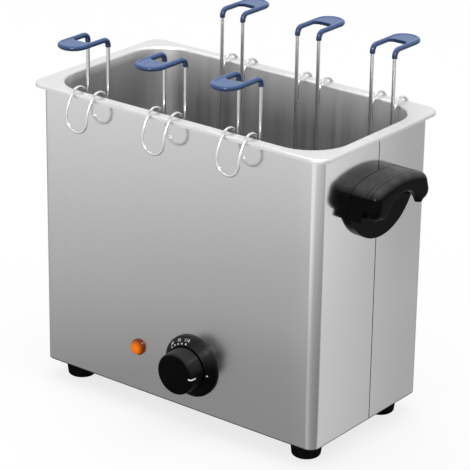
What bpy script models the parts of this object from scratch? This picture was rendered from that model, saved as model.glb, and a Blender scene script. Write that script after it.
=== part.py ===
"""A six-place commercial egg boiler, modelled as the separate pieces it is made of.

X runs along the front panel, Y from the front to the back and Z up, in metres.
The origin lies on the table, under the middle of the casing.
"""

import math

import bmesh
import bpy
from mathutils import Matrix, Vector

MM = 0.001

# Gaps between pieces, and how far a cutter runs past what it cuts
SEAT_GAP = 0.3 * MM
FIT_GAP = 0.4 * MM
CUT_OVERRUN = 2.0 * MM
MERGE_DISTANCE = 0.01 * MM

# Tank: a deep pan with a flat rim
RIM_LENGTH = 325.0 * MM
RIM_WIDTH = 177.0 * MM
RIM_CORNER_RADIUS = 14.0 * MM
RIM_DROP = 3.5 * MM
RIM_EDGE_RADIUS = 1.75 * MM
RIM_FLANGE = 9.0 * MM
OPENING_EDGE_RADIUS = 2.3 * MM
OPENING_CORNER_RADIUS = 38.0 * MM
TANK_DEPTH = 200.0 * MM
TANK_WALL = 0.8 * MM
TANK_TAPER = 4.0 * MM
TANK_FLOOR_RADIUS = 18.0 * MM

# Casing: a front and a rear shell of folded sheet, and a bottom plate
SERVICE_SPACE = 71.5 * MM
RIM_OVERHANG_END = 7.5 * MM
RIM_OVERHANG_SIDE = 7.75 * MM
CASING_CORNER_RADIUS = 9.0 * MM
SHEET = 0.8 * MM
SEAM_OFFSET = 4.0 * MM
SEAM_TONGUE = 11.0 * MM
SEAM_STEP = 0.8 * MM
SIDE_FLANGE = 8.0 * MM
FLANGE_MARGIN = 7.0 * MM
FLANGE_RELIEF = 1.5 * MM
BASE_SHEET = 1.2 * MM
BASE_SLOT_LENGTH = 34.0 * MM
BASE_SLOT_WIDTH = 4.0 * MM
BASE_SLOT_PITCH = 14.0 * MM
BASE_SLOT_OFFSET = 22.0 * MM

# Feet, pushed through the casing's end flanges and the base plate
FLOOR_CLEARANCE = 18.0 * MM
FOOT_INSET = 24.0 * MM
FOOT_TOP_RADIUS = 15.0 * MM
FOOT_LOW_RADIUS = 13.2 * MM
FOOT_EDGE_RADIUS = 2.6 * MM
FOOT_RECESS_RADIUS = 5.2 * MM
FOOT_RECESS_DEPTH = 7.0 * MM
FOOT_NECK_RADIUS = 4.0 * MM
FOOT_BARB_RADIUS = 5.5 * MM
FOOT_BARB_HEIGHT = 3.5 * MM

# Screws
SCREW_RADIUS = 2.0 * MM
SCREW_HOLE_RADIUS = 2.4 * MM
SCREW_HEAD_RADIUS = 3.8 * MM
SCREW_HEAD_HEIGHT = 2.2 * MM

# Side handles: a moulded back with an apron, and a hood the fingers go behind
HANDLE_DROP = 34.7 * MM
HANDLE_CROWN_RADIUS = 112.0 * MM
HANDLE_SHOULDER_INSET = 8.0 * MM
HANDLE_SIDE_HALF = 46.0 * MM
HANDLE_SIDE_DROP = 31.5 * MM
HANDLE_SHOULDER_RADIUS = 10.0 * MM
HANDLE_APRON_DROP = 27.75 * MM
HANDLE_BACK_DEPTH = 15.0 * MM
HANDLE_APRON_DEPTH = 5.0 * MM
HANDLE_HOOD_DEPTH = 12.7 * MM
HANDLE_WALL = 6.0 * MM
HANDLE_TOP_WALL = 7.0 * MM
HANDLE_EDGE_RADIUS = 8.0 * MM
HANDLE_LOBE_WIDTH = 20.92 * MM
HANDLE_ARCH_RISE = 17.0 * MM
HANDLE_ARCH_CORNER = 3.5 * MM
HANDLE_ARCH_EDGE = 2.5 * MM
HANDLE_LOBE_RADIUS = 10.0 * MM
HANDLE_SCREW_INSET = 15.0 * MM
HANDLE_SCREW_DROP = 14.5 * MM
HANDLE_BOSS_RADIUS = 5.5 * MM
HANDLE_SCREW_BITE = 6.5 * MM

# Dial and knob, on the spindle of the thermostat
DIAL_X = 20.7 * MM
BEZEL_RADIUS = 29.0 * MM
BEZEL_EDGE = 2.6 * MM
BEZEL_RISE = 8.2 * MM
BEZEL_CONE_WIDTH = 7.5 * MM
BEZEL_SKIN = 1.6 * MM
KNOB_RADIUS = 20.0 * MM
KNOB_TAPER = 0.6 * MM
KNOB_EDGE_RADIUS = 2.2 * MM
KNOB_HEIGHT = 16.4 * MM
KNOB_SKIN = 2.2 * MM
KNOB_HUB_WALL = 2.2 * MM
KNOB_MARK_WIDTH = 1.4 * MM
KNOB_MARK_DEPTH = 0.7 * MM
KNOB_MARK_LENGTH = 6.0 * MM
SPINDLE_RADIUS = 3.0 * MM
SPINDLE_FLAT = 1.1 * MM
SPINDLE_GRIP = 9.0 * MM
SPINDLE_DEPTH = 11.0 * MM
BUSH_WALL = 1.3 * MM
BUSH_REACH = 3.7 * MM
THERMOSTAT_WIDTH = 42.0 * MM
THERMOSTAT_DEPTH = 26.0 * MM
THERMOSTAT_HEIGHT = 30.0 * MM
THERMOSTAT_EDGE = 1.5 * MM
THERMOSTAT_SCREW_SPREAD = 14.0 * MM
THERMOSTAT_SCREW_LENGTH = 7.0 * MM
CAPILLARY_RADIUS = 0.9 * MM
BULB_RADIUS = 3.0 * MM
BULB_LENGTH = 70.0 * MM
BULB_X = 60.0 * MM
BULB_CLIP_WIDTH = 12.0 * MM
BULB_CLIP_SHEET = 0.8 * MM
BULB_CLIP_EAR = 3.5 * MM
BULB_CLIP_GAP = 1.0 * MM

# Pilot lamp
LAMP_X = -41.5 * MM
LENS_RIM_WIDTH = 2.8 * MM
LENS_RIM = 1.8 * MM
LENS_FACE_RADIUS = 5.0 * MM
LENS_HEIGHT = 4.6 * MM
LAMP_STEM_RADIUS = 4.7 * MM
LAMP_STEM_TAIL = 2.0 * MM
LAMP_BODY_RADIUS = 6.5 * MM
LAMP_BODY_LENGTH = 24.0 * MM
LAMP_CLIP_WIDTH = 3.0 * MM
LAMP_CLIP_SHEET = 1.0 * MM

# Heating under the tank
HEATER_LENGTH = 208.0 * MM
HEATER_PLATE = 4.0 * MM
HEATER_MARGIN = 2.5 * MM
HEATER_CORNER_RADIUS = 8.0 * MM
ELEMENT_RADIUS = 4.0 * MM
ELEMENT_PITCH = 22.0 * MM
ELEMENT_END_GAP = 10.0 * MM
ELEMENT_DROP = 16.0 * MM
ELEMENT_BEND = 8.0 * MM
CLAMP_WIDTH = 20.0 * MM
CLAMP_SHEET = 1.6 * MM
STUD_RADIUS = 2.4 * MM
STUD_OVERHANG = 2.5 * MM
NUT_WALL = 1.5 * MM
NUT_HEIGHT = 4.0 * MM
CUTOUT_GAP = 4.0 * MM
CUTOUT_RADIUS = 8.0 * MM
CUTOUT_HEIGHT = 10.0 * MM
CUTOUT_CAP_RADIUS = 6.5 * MM
CUTOUT_CAP_HEIGHT = 3.0 * MM

# Mains side: a terminal block on the base plate and a snap-in gland in the rear shell
MAINS_X = -112.0 * MM
TERMINAL_SETBACK = 30.0 * MM
TERMINAL_LENGTH = 34.0 * MM
TERMINAL_DEPTH = 20.0 * MM
TERMINAL_HEIGHT = 17.0 * MM
TERMINAL_EDGE = 1.2 * MM
TERMINAL_WELL_RADIUS = 2.4 * MM
TERMINAL_WELL_DEPTH = 6.0 * MM
TERMINAL_PITCH = 10.0 * MM
GLAND_FLANGE_RADIUS = 11.0 * MM
GLAND_FLANGE = 4.0 * MM
GLAND_DOME_WALL = 4.4 * MM
GLAND_DOME = 11.0 * MM
GLAND_BORE_RADIUS = 4.2 * MM
GLAND_NECK_WALL = 3.8 * MM
GLAND_BARB = 1.2 * MM
GLAND_TAIL = 8.0 * MM

# Egg holders, each measured from the top of the rim and the middle of the tank
ROD_RADIUS = 1.6 * MM
ROD_SPREAD = 11.75 * MM
ROD_WALL_GAP = 3.6 * MM
HAND_HEIGHT = 50.5 * MM
HAND_BEND = 6.0 * MM
HAND_LENGTH = 46.0 * MM
GRIP_RADIUS = 2.5 * MM
GRIP_BORE_GAP = 0.4 * MM
GRIP_LEG = 1.5 * MM
GRIP_WEB = 2.6 * MM
GRIP_WEB_START = 20.0 * MM
GRIP_WEB_HOLLOW = 4.0 * MM
HOOK_RADIUS = 1.3 * MM
HOOK_WELD_DROP = 24.0 * MM
HOOK_LOOP_DROP = 31.0 * MM
HOOK_CLEARANCE = 1.6 * MM
HOOK_BOW = 6.0 * MM
RING_RADIUS = 21.5 * MM
RING_WIRE = 1.25 * MM
CUP_DEPTH = 30.0 * MM
CUP_FLOOR_GAP = 19.0 * MM

# Height of the dial, lamp and gland, as shares of the space under the tank
DIAL_HEIGHT_SHARE = 0.606
GLAND_HEIGHT_SHARE = 0.4

# Where the holders hang, as shares of half the straight part of the opening's long edge
FRONT_PLACE_SHARES = (-0.87, -0.097, 0.623)
REAR_PLACE_SHARES = (-0.481, 0.274, 0.994)

# Shape of the cup wires, as shares of the ring's radius and the cup's depth
CUP_PROFILE_SHARES = ((1.0, 0.0), (0.93, 0.45), (0.62, 0.86), (0.0, 1.0))

# How finely round shapes are divided
CORNER_STEPS = 5
SMALL_CORNER_STEPS = 3
TURN_STEPS = 24
SMALL_TURN_STEPS = 12
SCREW_STEPS = 8
NUT_SIDES = 6
BEND_STEPS = 3
HAND_STEPS = 6
HOOK_STEPS = 4
BOW_STEPS = 2
CLIP_STEPS = 6
ELEMENT_STEPS = 4
RING_STEPS = 12
ROUTE_STEPS = 8

# Sizes worked out from those above
TANK_UNDERSIDE = FLOOR_CLEARANCE + SERVICE_SPACE
RIM_TOP = TANK_UNDERSIDE + TANK_DEPTH
SHELL_TOP = RIM_TOP - TANK_WALL - SEAT_GAP
RIM_HALF_WIDTH = RIM_WIDTH / 2
OPENING_INSET = RIM_FLANGE + OPENING_EDGE_RADIUS
CASING_LENGTH = RIM_LENGTH - 2 * RIM_OVERHANG_END
CASING_WIDTH = RIM_WIDTH - 2 * RIM_OVERHANG_SIDE
END_FACE = CASING_LENGTH / 2
FRONT_FACE = -CASING_WIDTH / 2
REAR_FACE = CASING_WIDTH / 2
BASE_UNDERSIDE = FLOOR_CLEARANCE + SHEET + SEAT_GAP
BASE_TOP = BASE_UNDERSIDE + BASE_SHEET
FOOT_X = END_FACE - FOOT_INSET
FOOT_Y = REAR_FACE - FOOT_INSET
FOOT_HOLE_RADIUS = FOOT_NECK_RADIUS + FIT_GAP
HANDLE_TOP = RIM_TOP - HANDLE_DROP
HANDLE_DEPTH = HANDLE_BACK_DEPTH + SEAT_GAP + HANDLE_HOOD_DEPTH
HANDLE_CROWN_HALF = HANDLE_SIDE_HALF - HANDLE_SHOULDER_INSET
HANDLE_APRON_RADIUS = (HANDLE_SIDE_HALF ** 2 + HANDLE_APRON_DROP ** 2) / (2 * HANDLE_APRON_DROP)
HANDLE_ARCH_HALF = HANDLE_SIDE_HALF - HANDLE_LOBE_WIDTH
HANDLE_ARCH_RADIUS = (HANDLE_ARCH_HALF ** 2 + HANDLE_ARCH_RISE ** 2) / (2 * HANDLE_ARCH_RISE)
HANDLE_SCREW_SPREAD = HANDLE_SIDE_HALF - HANDLE_SCREW_INSET
DIAL_HEIGHT = FLOOR_CLEARANCE + SERVICE_SPACE * DIAL_HEIGHT_SHARE
GLAND_HEIGHT = FLOOR_CLEARANCE + SERVICE_SPACE * GLAND_HEIGHT_SHARE
HEATER_UNDERSIDE = TANK_UNDERSIDE - SEAT_GAP - HEATER_PLATE
ELEMENT_LEVEL = HEATER_UNDERSIDE - SEAT_GAP - ELEMENT_RADIUS
CLAMP_TOP = ELEMENT_LEVEL - ELEMENT_RADIUS - SEAT_GAP
CLAMP_UNDERSIDE = CLAMP_TOP - CLAMP_SHEET
ELEMENT_HALF_WIDTH = 1.5 * ELEMENT_PITCH + ELEMENT_RADIUS
HEATER_HALF_WIDTH = ELEMENT_HALF_WIDTH + HEATER_MARGIN
ROD_PLACE = RIM_HALF_WIDTH - OPENING_INSET - TANK_TAPER - ROD_RADIUS - ROD_WALL_GAP
RING_DROP = TANK_DEPTH - TANK_WALL - CUP_FLOOR_GAP - CUP_DEPTH
STRAIGHT_HALF = RIM_LENGTH / 2 - OPENING_INSET - OPENING_CORNER_RADIUS

QUARTER = math.pi / 2
AXIS_TURNS = {
    "X": Matrix.Rotation(QUARTER, 4, "Y"),
    "Y": Matrix.Rotation(QUARTER, 4, "X"),
    "Z": Matrix.Identity(4),
}
FACING_FRONT = (QUARTER, 0, 0)
FACING_REAR = (-QUARTER, 0, 0)
FACING_RIGHT = (QUARTER, 0, QUARTER)
FACING_LEFT = (QUARTER, 0, -QUARTER)


def clear_scene():
    """Start from an empty scene, with one collection for the parts and one for the cutters."""
    for item in list(bpy.data.objects):
        bpy.data.objects.remove(item, do_unlink=True)
    collections = []
    for name in ("commercial_egg_boiler", "cutters"):
        collection = bpy.data.collections.new(name)
        bpy.context.scene.collection.children.link(collection)
        collections.append(collection)
    return collections


def finish(name, colour, roughness, metallic):
    """A plain surface finish."""
    material = bpy.data.materials.new(name)
    material.use_nodes = True
    shader = material.node_tree.nodes["Principled BSDF"]
    shader.inputs["Base Color"].default_value = (*colour, 1)
    shader.inputs["Roughness"].default_value = roughness
    shader.inputs["Metallic"].default_value = metallic
    material.diffuse_color = (*colour, 1)
    return material


def part(name, data, material, location=(0, 0, 0), rotation=(0, 0, 0), parent=None):
    """Put a named piece in the parts collection."""
    piece = bpy.data.objects.new(name, data)
    piece.location = location
    piece.rotation_euler = rotation
    piece.parent = parent
    if not data.materials:
        data.materials.append(material)
    PARTS.objects.link(piece)
    return piece


def cutter(data, location=(0, 0, 0), rotation=(0, 0, 0)):
    """Put a shape that only cuts or joins in the cutters collection, out of the render."""
    tool = bpy.data.objects.new("cutter_" + data.name, data)
    tool.location = location
    tool.rotation_euler = rotation
    tool.hide_render = True
    tool.display_type = "WIRE"
    CUTTERS.objects.link(tool)
    return tool


def cut(piece, tool):
    """Take the tool's shape out of the piece."""
    step = piece.modifiers.new("cut", "BOOLEAN")
    step.operation = "DIFFERENCE"
    step.object = tool


def join(piece, tool):
    """Make the tool's shape one body with the piece."""
    step = piece.modifiers.new("join", "BOOLEAN")
    step.operation = "UNION"
    step.object = tool


def round_edges(piece, width):
    """Break the piece's sharp edges."""
    step = piece.modifiers.new("round", "BEVEL")
    step.width = width
    step.segments = 1
    step.limit_method = "ANGLE"
    step.angle_limit = math.radians(40)


def baked(name, data, build=None):
    """The mesh of data with a curve's caps welded, after build has given it modifiers."""
    helper = bpy.data.objects.new(name, data)
    CUTTERS.objects.link(helper)
    tools = build(helper) if build else []
    bpy.context.view_layer.update()
    graph = bpy.context.evaluated_depsgraph_get()
    mesh = bpy.data.meshes.new_from_object(helper.evaluated_get(graph))
    mesh.name = name
    shape = bmesh.new()
    shape.from_mesh(mesh)
    bmesh.ops.remove_doubles(shape, verts=shape.verts, dist=MERGE_DISTANCE)
    bmesh.ops.recalc_face_normals(shape, faces=shape.faces)
    shape.to_mesh(mesh)
    shape.free()
    mesh.shade_smooth()
    mesh.set_sharp_from_angle(angle=math.radians(35))
    for used in (helper, *tools):
        bpy.data.objects.remove(used, do_unlink=True)
    return mesh


def boxes_mesh(name, boxes):
    """Boxes, each between its lowest and highest corners."""
    mesh = bpy.data.meshes.new(name)
    shape = bmesh.new()
    for low, high in boxes:
        size = [top - bottom for bottom, top in zip(low, high)]
        centre = [(top + bottom) / 2 for bottom, top in zip(low, high)]
        place = Matrix.Translation(centre) @ Matrix.Diagonal((*size, 1))
        bmesh.ops.create_cube(shape, size=1, matrix=place)
    shape.to_mesh(mesh)
    shape.free()
    return mesh


def rods_mesh(name, places, radius, length, axis, sides=SMALL_TURN_STEPS):
    """Round rods of one size, centred on several places."""
    mesh = bpy.data.meshes.new(name)
    shape = bmesh.new()
    for place in places:
        bmesh.ops.create_cone(
            shape,
            cap_ends=True,
            segments=sides,
            radius1=radius,
            radius2=radius,
            depth=length,
            matrix=Matrix.Translation(place) @ AXIS_TURNS[axis],
        )
    shape.to_mesh(mesh)
    shape.free()
    mesh.shade_smooth()
    mesh.set_sharp_from_angle(angle=math.radians(50))
    return mesh


def turned_mesh(name, profile, steps=SMALL_TURN_STEPS, ring=False):
    """Turn a profile of (radius, height) points, listed down the outer side, about Z."""
    outline = bpy.data.meshes.new(name)
    points = [(radius, 0, height) for radius, height in profile]
    edges = [(index, index + 1) for index in range(len(points) - 1)]
    if ring:
        edges.append((len(points) - 1, 0))
    outline.from_pydata(points, edges, [])

    def add_turn(helper):
        step = helper.modifiers.new("turn", "SCREW")
        step.axis = "Z"
        step.steps = steps
        step.render_steps = steps
        step.use_merge_vertices = True
        step.merge_threshold = MERGE_DISTANCE
        return []

    return baked(name, outline, add_turn)


def arc(centre, radius, start, end, steps):
    """Points along an arc, angles in radians."""
    points = []
    for step in range(steps + 1):
        angle = start + (end - start) * step / steps
        points.append((centre[0] + radius * math.cos(angle), centre[1] + radius * math.sin(angle)))
    return points


def filleted(corners, steps):
    """Outline through corners of (x, y, radius), with an arc in place of each round corner."""
    outline = []
    for index, (x, y, radius) in enumerate(corners):
        corner = Vector((x, y))
        if radius == 0:
            outline.append((x, y))
            continue
        back = (Vector(corners[index - 1][:2]) - corner).normalized()
        ahead = (Vector(corners[(index + 1) % len(corners)][:2]) - corner).normalized()
        half = back.angle(ahead) / 2
        centre = corner + (back + ahead).normalized() * (radius / math.sin(half))
        reach = radius / math.tan(half)
        start = corner + back * reach - centre
        end = corner + ahead * reach - centre
        sweep = math.atan2(start.cross(end), start.dot(end))
        first = math.atan2(start.y, start.x)
        outline.extend(arc(centre, radius, first, first + sweep, steps))
    return outline


def rounded_rectangle(length, width, radius, steps=CORNER_STEPS):
    """Outline of a rectangle with round corners, counterclockwise."""
    x = length / 2
    y = width / 2
    return filleted([(x, y, radius), (-x, y, radius), (-x, -y, radius), (x, -y, radius)], steps)


def inset_outline(outline, distances):
    """A counterclockwise outline with each of its points moved inwards by its own distance."""
    moved = []
    for index, point in enumerate(outline):
        here = Vector(point)
        back = (here - Vector(outline[index - 1])).normalized().orthogonal()
        ahead = (Vector(outline[(index + 1) % len(outline)]) - here).normalized().orthogonal()
        shift = (back + ahead) / (1 + back.dot(ahead))
        moved.append(here + shift * distances[index])
    return moved


def lofted_mesh(name, sections, closed=True):
    """A skin through sections of (outline, height), closed at its last one and maybe its first."""
    mesh = bpy.data.meshes.new(name)
    shape = bmesh.new()
    rings = []
    for outline, height in sections:
        rings.append([shape.verts.new((x, y, height)) for x, y in outline])
    for first, second in zip(rings, rings[1:]):
        for index in range(len(first)):
            after = (index + 1) % len(first)
            shape.faces.new((first[index], first[after], second[after], second[index]))
    shape.faces.new(rings[-1])
    if closed:
        shape.faces.new(reversed(rings[0]))
    shape.to_mesh(mesh)
    shape.free()
    return mesh


def plate_mesh(name, outline, low, high):
    """A flat outline in X and Y, filled from the height low to the height high."""
    data = bpy.data.curves.new(name, "CURVE")
    data.dimensions = "2D"
    data.fill_mode = "BOTH"
    data.extrude = (high - low) / 2
    spline = data.splines.new("POLY")
    spline.points.add(len(outline) - 1)
    for point, place in zip(spline.points, outline):
        point.co = (place[0], place[1], 0, 1)
    spline.use_cyclic_u = True
    mesh = baked(name, data)
    mesh.transform(Matrix.Translation((0, 0, (low + high) / 2)))
    return mesh


def wire_curve(name, points, radius, resolution=1, closed=False):
    """A round wire along a path of points."""
    data = bpy.data.curves.new(name, "CURVE")
    data.dimensions = "3D"
    data.bevel_depth = radius
    data.bevel_resolution = resolution
    data.use_fill_caps = True
    spline = data.splines.new("POLY")
    spline.points.add(len(points) - 1)
    for point, place in zip(spline.points, points):
        point.co = (*place, 1)
    spline.use_cyclic_u = closed
    return data


def screw_mesh(length):
    """A pan-headed screw, its head above Z = 0 and its shank below."""
    profile = [
        (0, SCREW_HEAD_HEIGHT),
        (SCREW_HEAD_RADIUS - SCREW_HEAD_HEIGHT / 2, SCREW_HEAD_HEIGHT),
        (SCREW_HEAD_RADIUS, SCREW_HEAD_HEIGHT / 2),
        (SCREW_HEAD_RADIUS, 0),
        (SCREW_RADIUS, 0),
        (SCREW_RADIUS, -length),
        (0, -length),
    ]
    return turned_mesh("screw", profile, SCREW_STEPS)


def mirrored_places(x, y, z):
    """The four places at plus and minus x and y: rear right, rear left, front left, front right."""
    return [(x, y, z), (-x, y, z), (-x, -y, z), (x, -y, z)]


def pair(spread):
    """Minus and plus a distance."""
    return (-spread, spread)


def make_tank():
    """The pan: its rim rolls over the casing, its walls taper to a rounded floor."""
    wall_start = OPENING_INSET + TANK_TAPER
    wall_foot = TANK_DEPTH - TANK_WALL - TANK_FLOOR_RADIUS
    edge = arc((RIM_EDGE_RADIUS, -RIM_EDGE_RADIUS), RIM_EDGE_RADIUS, math.pi, QUARTER, 2)
    opening = arc((RIM_FLANGE, -OPENING_EDGE_RADIUS), OPENING_EDGE_RADIUS, QUARTER, 0, 2)
    floor_centre = (wall_start + TANK_FLOOR_RADIUS, -wall_foot)
    floor = arc(floor_centre, TANK_FLOOR_RADIUS, math.pi, 3 * QUARTER, SMALL_CORNER_STEPS)
    sections = [(0, -RIM_DROP, RIM_CORNER_RADIUS)]
    sections += [(inset, z, RIM_CORNER_RADIUS - inset) for inset, z in edge]
    sections += [(inset, z, OPENING_CORNER_RADIUS + OPENING_INSET - inset) for inset, z in opening + floor]
    rings = []
    for inset, z, radius in sections:
        outline = rounded_rectangle(RIM_LENGTH - 2 * inset, RIM_WIDTH - 2 * inset, radius)
        rings.append((outline, RIM_TOP + z))
    mesh = lofted_mesh("tank", rings, closed=False)

    def add_wall(helper):
        step = helper.modifiers.new("wall", "SOLIDIFY")
        step.thickness = TANK_WALL
        step.offset = -1
        step.use_even_offset = True
        return []

    part("tank", baked("tank", mesh, add_wall), STEEL_TANK)


def shell_outline(side, start, tongue):
    """Outline, seen from above, of the band of sheet round one long side of the casing.

    The band ends at the height start of Y in both end walls, where it may step inwards
    and run on as a tongue behind the other shell.
    """
    face = side * REAR_FACE
    near = END_FACE - SHEET
    outer = [(-END_FACE, start, 0), (-END_FACE, face, CASING_CORNER_RADIUS)]
    outer += [(END_FACE, face, CASING_CORNER_RADIUS), (END_FACE, start, 0)]
    inner_face = face - side * SHEET
    inner = [(near, start, 0), (near, inner_face, CASING_CORNER_RADIUS - SHEET)]
    inner += [(-near, inner_face, CASING_CORNER_RADIUS - SHEET), (-near, start, 0)]
    if tongue:
        bend = start - side * SEAM_STEP
        tip = start - side * SEAM_TONGUE
        tongue_outer = near - SEAT_GAP
        tongue_inner = tongue_outer - SHEET
        outer += [(tongue_outer, bend, 0), (tongue_outer, tip, 0)]
        outer += [(tongue_inner, tip, 0), (tongue_inner, bend, 0)]
        inner += [(-tongue_inner, bend, 0), (-tongue_inner, tip, 0)]
        inner += [(-tongue_outer, tip, 0), (-tongue_outer, bend, 0)]
    return filleted(outer + inner, CORNER_STEPS)


def return_flanges(side, start):
    """The inward flanges at a shell's lower edge: one along its side and a wide one at each end."""
    low = FLOOR_CLEARANCE
    high = FLOOR_CLEARANCE + SHEET
    corner = CASING_CORNER_RADIUS + FLANGE_RELIEF
    side_edges = sorted((side * (REAR_FACE - SHEET / 2), side * (REAR_FACE - SIDE_FLANGE)))
    boxes = [((corner - END_FACE, side_edges[0], low), (END_FACE - corner, side_edges[1], high))]
    end_edges = sorted((side * (REAR_FACE - corner), start + side * (SEAM_TONGUE + FLANGE_RELIEF)))
    wide = FOOT_INSET + FOOT_HOLE_RADIUS + FLANGE_MARGIN
    for end in (-1, 1):
        x_edges = sorted((end * (END_FACE - SHEET / 2), end * (END_FACE - wide)))
        boxes.append(((x_edges[0], end_edges[0], low), (x_edges[1], end_edges[1], high)))
    return [boxes_mesh("return_flange", [box]) for box in boxes]


def handle_screw_places(side):
    """Where the two screws of a side handle cross the end wall, on side +1 or -1."""
    height = HANDLE_TOP - HANDLE_SCREW_DROP
    return [(side * END_FACE, SEAM_OFFSET + shift, height) for shift in pair(HANDLE_SCREW_SPREAD)]


def shell_mesh(name, side, start, tongue, panel_holes):
    """A folded shell with its return flanges and the holes for handles, feet and fittings."""
    band = plate_mesh("band", shell_outline(side, start, tongue), FLOOR_CLEARANCE, SHELL_TOP)
    ends = handle_screw_places(-1) + handle_screw_places(1)
    feet = mirrored_places(FOOT_X, FOOT_Y, FLOOR_CLEARANCE)

    def fold_and_drill(helper):
        flanges = [cutter(flange) for flange in return_flanges(side, start)]
        drills = [
            cutter(rods_mesh("handle_holes", ends, SCREW_HOLE_RADIUS, 4 * CUT_OVERRUN, "X")),
            cutter(rods_mesh("foot_holes", feet, FOOT_HOLE_RADIUS, 4 * CUT_OVERRUN, "Z")),
        ]
        for place, radius in panel_holes:
            drills.append(cutter(rods_mesh("panel_hole", [place], radius, 4 * CUT_OVERRUN, "Y")))
        for flange in flanges:
            join(helper, flange)
        for drill in drills:
            cut(helper, drill)
        return flanges + drills

    return baked(name, band, fold_and_drill)


def make_casing():
    """Front and rear shells that lap at a seam in each end wall, and the base plate."""
    holes = [((LAMP_X, FRONT_FACE, DIAL_HEIGHT), LAMP_STEM_RADIUS + FIT_GAP)]
    bush_hole_radius = SPINDLE_RADIUS + FIT_GAP + BUSH_WALL + FIT_GAP
    holes.append(((DIAL_X, FRONT_FACE, DIAL_HEIGHT), bush_hole_radius))
    for shift in pair(THERMOSTAT_SCREW_SPREAD):
        holes.append(((DIAL_X + shift, FRONT_FACE, DIAL_HEIGHT), SCREW_HOLE_RADIUS))
    start = SEAM_OFFSET - SEAM_STEP / 2
    part("front_shell", shell_mesh("front_shell", -1, start, True, holes), STEEL_SHELL)
    gland_hole_radius = GLAND_BORE_RADIUS + GLAND_NECK_WALL + FIT_GAP
    holes = [((MAINS_X, REAR_FACE, GLAND_HEIGHT), gland_hole_radius)]
    start = SEAM_OFFSET + SEAM_STEP / 2 + SEAT_GAP
    part("rear_shell", shell_mesh("rear_shell", 1, start, False, holes), STEEL_SHELL)

    inset = 2 * (SHEET + SEAT_GAP)
    length = CASING_LENGTH - 2 * inset
    width = CASING_WIDTH - 2 * inset
    outline = rounded_rectangle(length, width, CASING_CORNER_RADIUS - SHEET, SMALL_CORNER_STEPS)
    base = part("base_plate", plate_mesh("base_plate", outline, BASE_UNDERSIDE, BASE_TOP), STEEL_BASE)
    places = mirrored_places(FOOT_X, FOOT_Y, BASE_UNDERSIDE)
    cut(base, cutter(rods_mesh("foot_holes", places, FOOT_HOLE_RADIUS, 4 * CUT_OVERRUN, "Z")))
    slots = []
    for row in (-1, 1):
        for column in (-1, 0, 1):
            x = column * BASE_SLOT_PITCH
            y = row * BASE_SLOT_OFFSET
            low = (x - BASE_SLOT_WIDTH / 2, y - BASE_SLOT_LENGTH / 2, BASE_UNDERSIDE - CUT_OVERRUN)
            high = (x + BASE_SLOT_WIDTH / 2, y + BASE_SLOT_LENGTH / 2, BASE_TOP + CUT_OVERRUN)
            slots.append((low, high))
    cut(base, cutter(boxes_mesh("vent_slots", slots)))


def make_feet():
    """Four rubber feet, each with a barbed stem through the end flange and the base plate."""
    foot_height = FLOOR_CLEARANCE - SEAT_GAP
    barb = BASE_TOP + SEAT_GAP
    profile = [
        (0, barb + FOOT_BARB_HEIGHT),
        (FOOT_NECK_RADIUS, barb + FOOT_BARB_HEIGHT),
        (FOOT_BARB_RADIUS, barb),
        (FOOT_NECK_RADIUS, barb),
        (FOOT_NECK_RADIUS, foot_height),
        (FOOT_TOP_RADIUS, foot_height),
        (FOOT_LOW_RADIUS, FOOT_EDGE_RADIUS),
        (FOOT_LOW_RADIUS - FOOT_EDGE_RADIUS / 3, FOOT_EDGE_RADIUS / 3),
        (FOOT_LOW_RADIUS - FOOT_EDGE_RADIUS, 0),
        (FOOT_RECESS_RADIUS, 0),
        (FOOT_RECESS_RADIUS, FOOT_RECESS_DEPTH),
        (0, FOOT_RECESS_DEPTH),
    ]
    foot = turned_mesh("foot", profile)
    names = ("foot_rear_right", "foot_rear_left", "foot_front_left", "foot_front_right")
    for name, place in zip(names, mirrored_places(FOOT_X, FOOT_Y, 0)):
        part(name, foot, RUBBER, place)


def handle_crown(inset, half, steps):
    """The shallow arc along the top of a handle, from right to left, set in by inset."""
    radius = HANDLE_CROWN_RADIUS - inset
    angle = math.asin(half / radius)
    return arc((0, -HANDLE_CROWN_RADIUS), radius, QUARTER - angle, QUARTER + angle, steps)


def crown_corners(inset, half, steps, radius):
    """The crown as corners of an outline, its two ends rounded."""
    crown = handle_crown(inset, half, steps)
    corners = [(*point, 0) for point in crown]
    corners[0] = (*crown[0], radius)
    corners[-1] = (*crown[-1], radius)
    return corners


def handle_pocket_mesh(low, high):
    """The finger room inside a handle: it runs out downwards between the side walls."""
    half = HANDLE_SIDE_HALF - HANDLE_WALL
    depth = HANDLE_SIDE_DROP + HANDLE_APRON_RADIUS
    corners = crown_corners(HANDLE_TOP_WALL, HANDLE_CROWN_HALF - HANDLE_WALL, 4, HANDLE_WALL)
    corners += [(-half, -HANDLE_SIDE_DROP, 0), (-half, -depth, 0)]
    corners += [(half, -depth, 0), (half, -HANDLE_SIDE_DROP, 0)]
    return plate_mesh("pocket", filleted(corners, SMALL_CORNER_STEPS), low, high)


def boss_places(height):
    """Where the screw bosses of a handle stand, at a height of its outline's Z."""
    return [(shift, -HANDLE_SCREW_DROP, height) for shift in pair(HANDLE_SCREW_SPREAD)]


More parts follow.
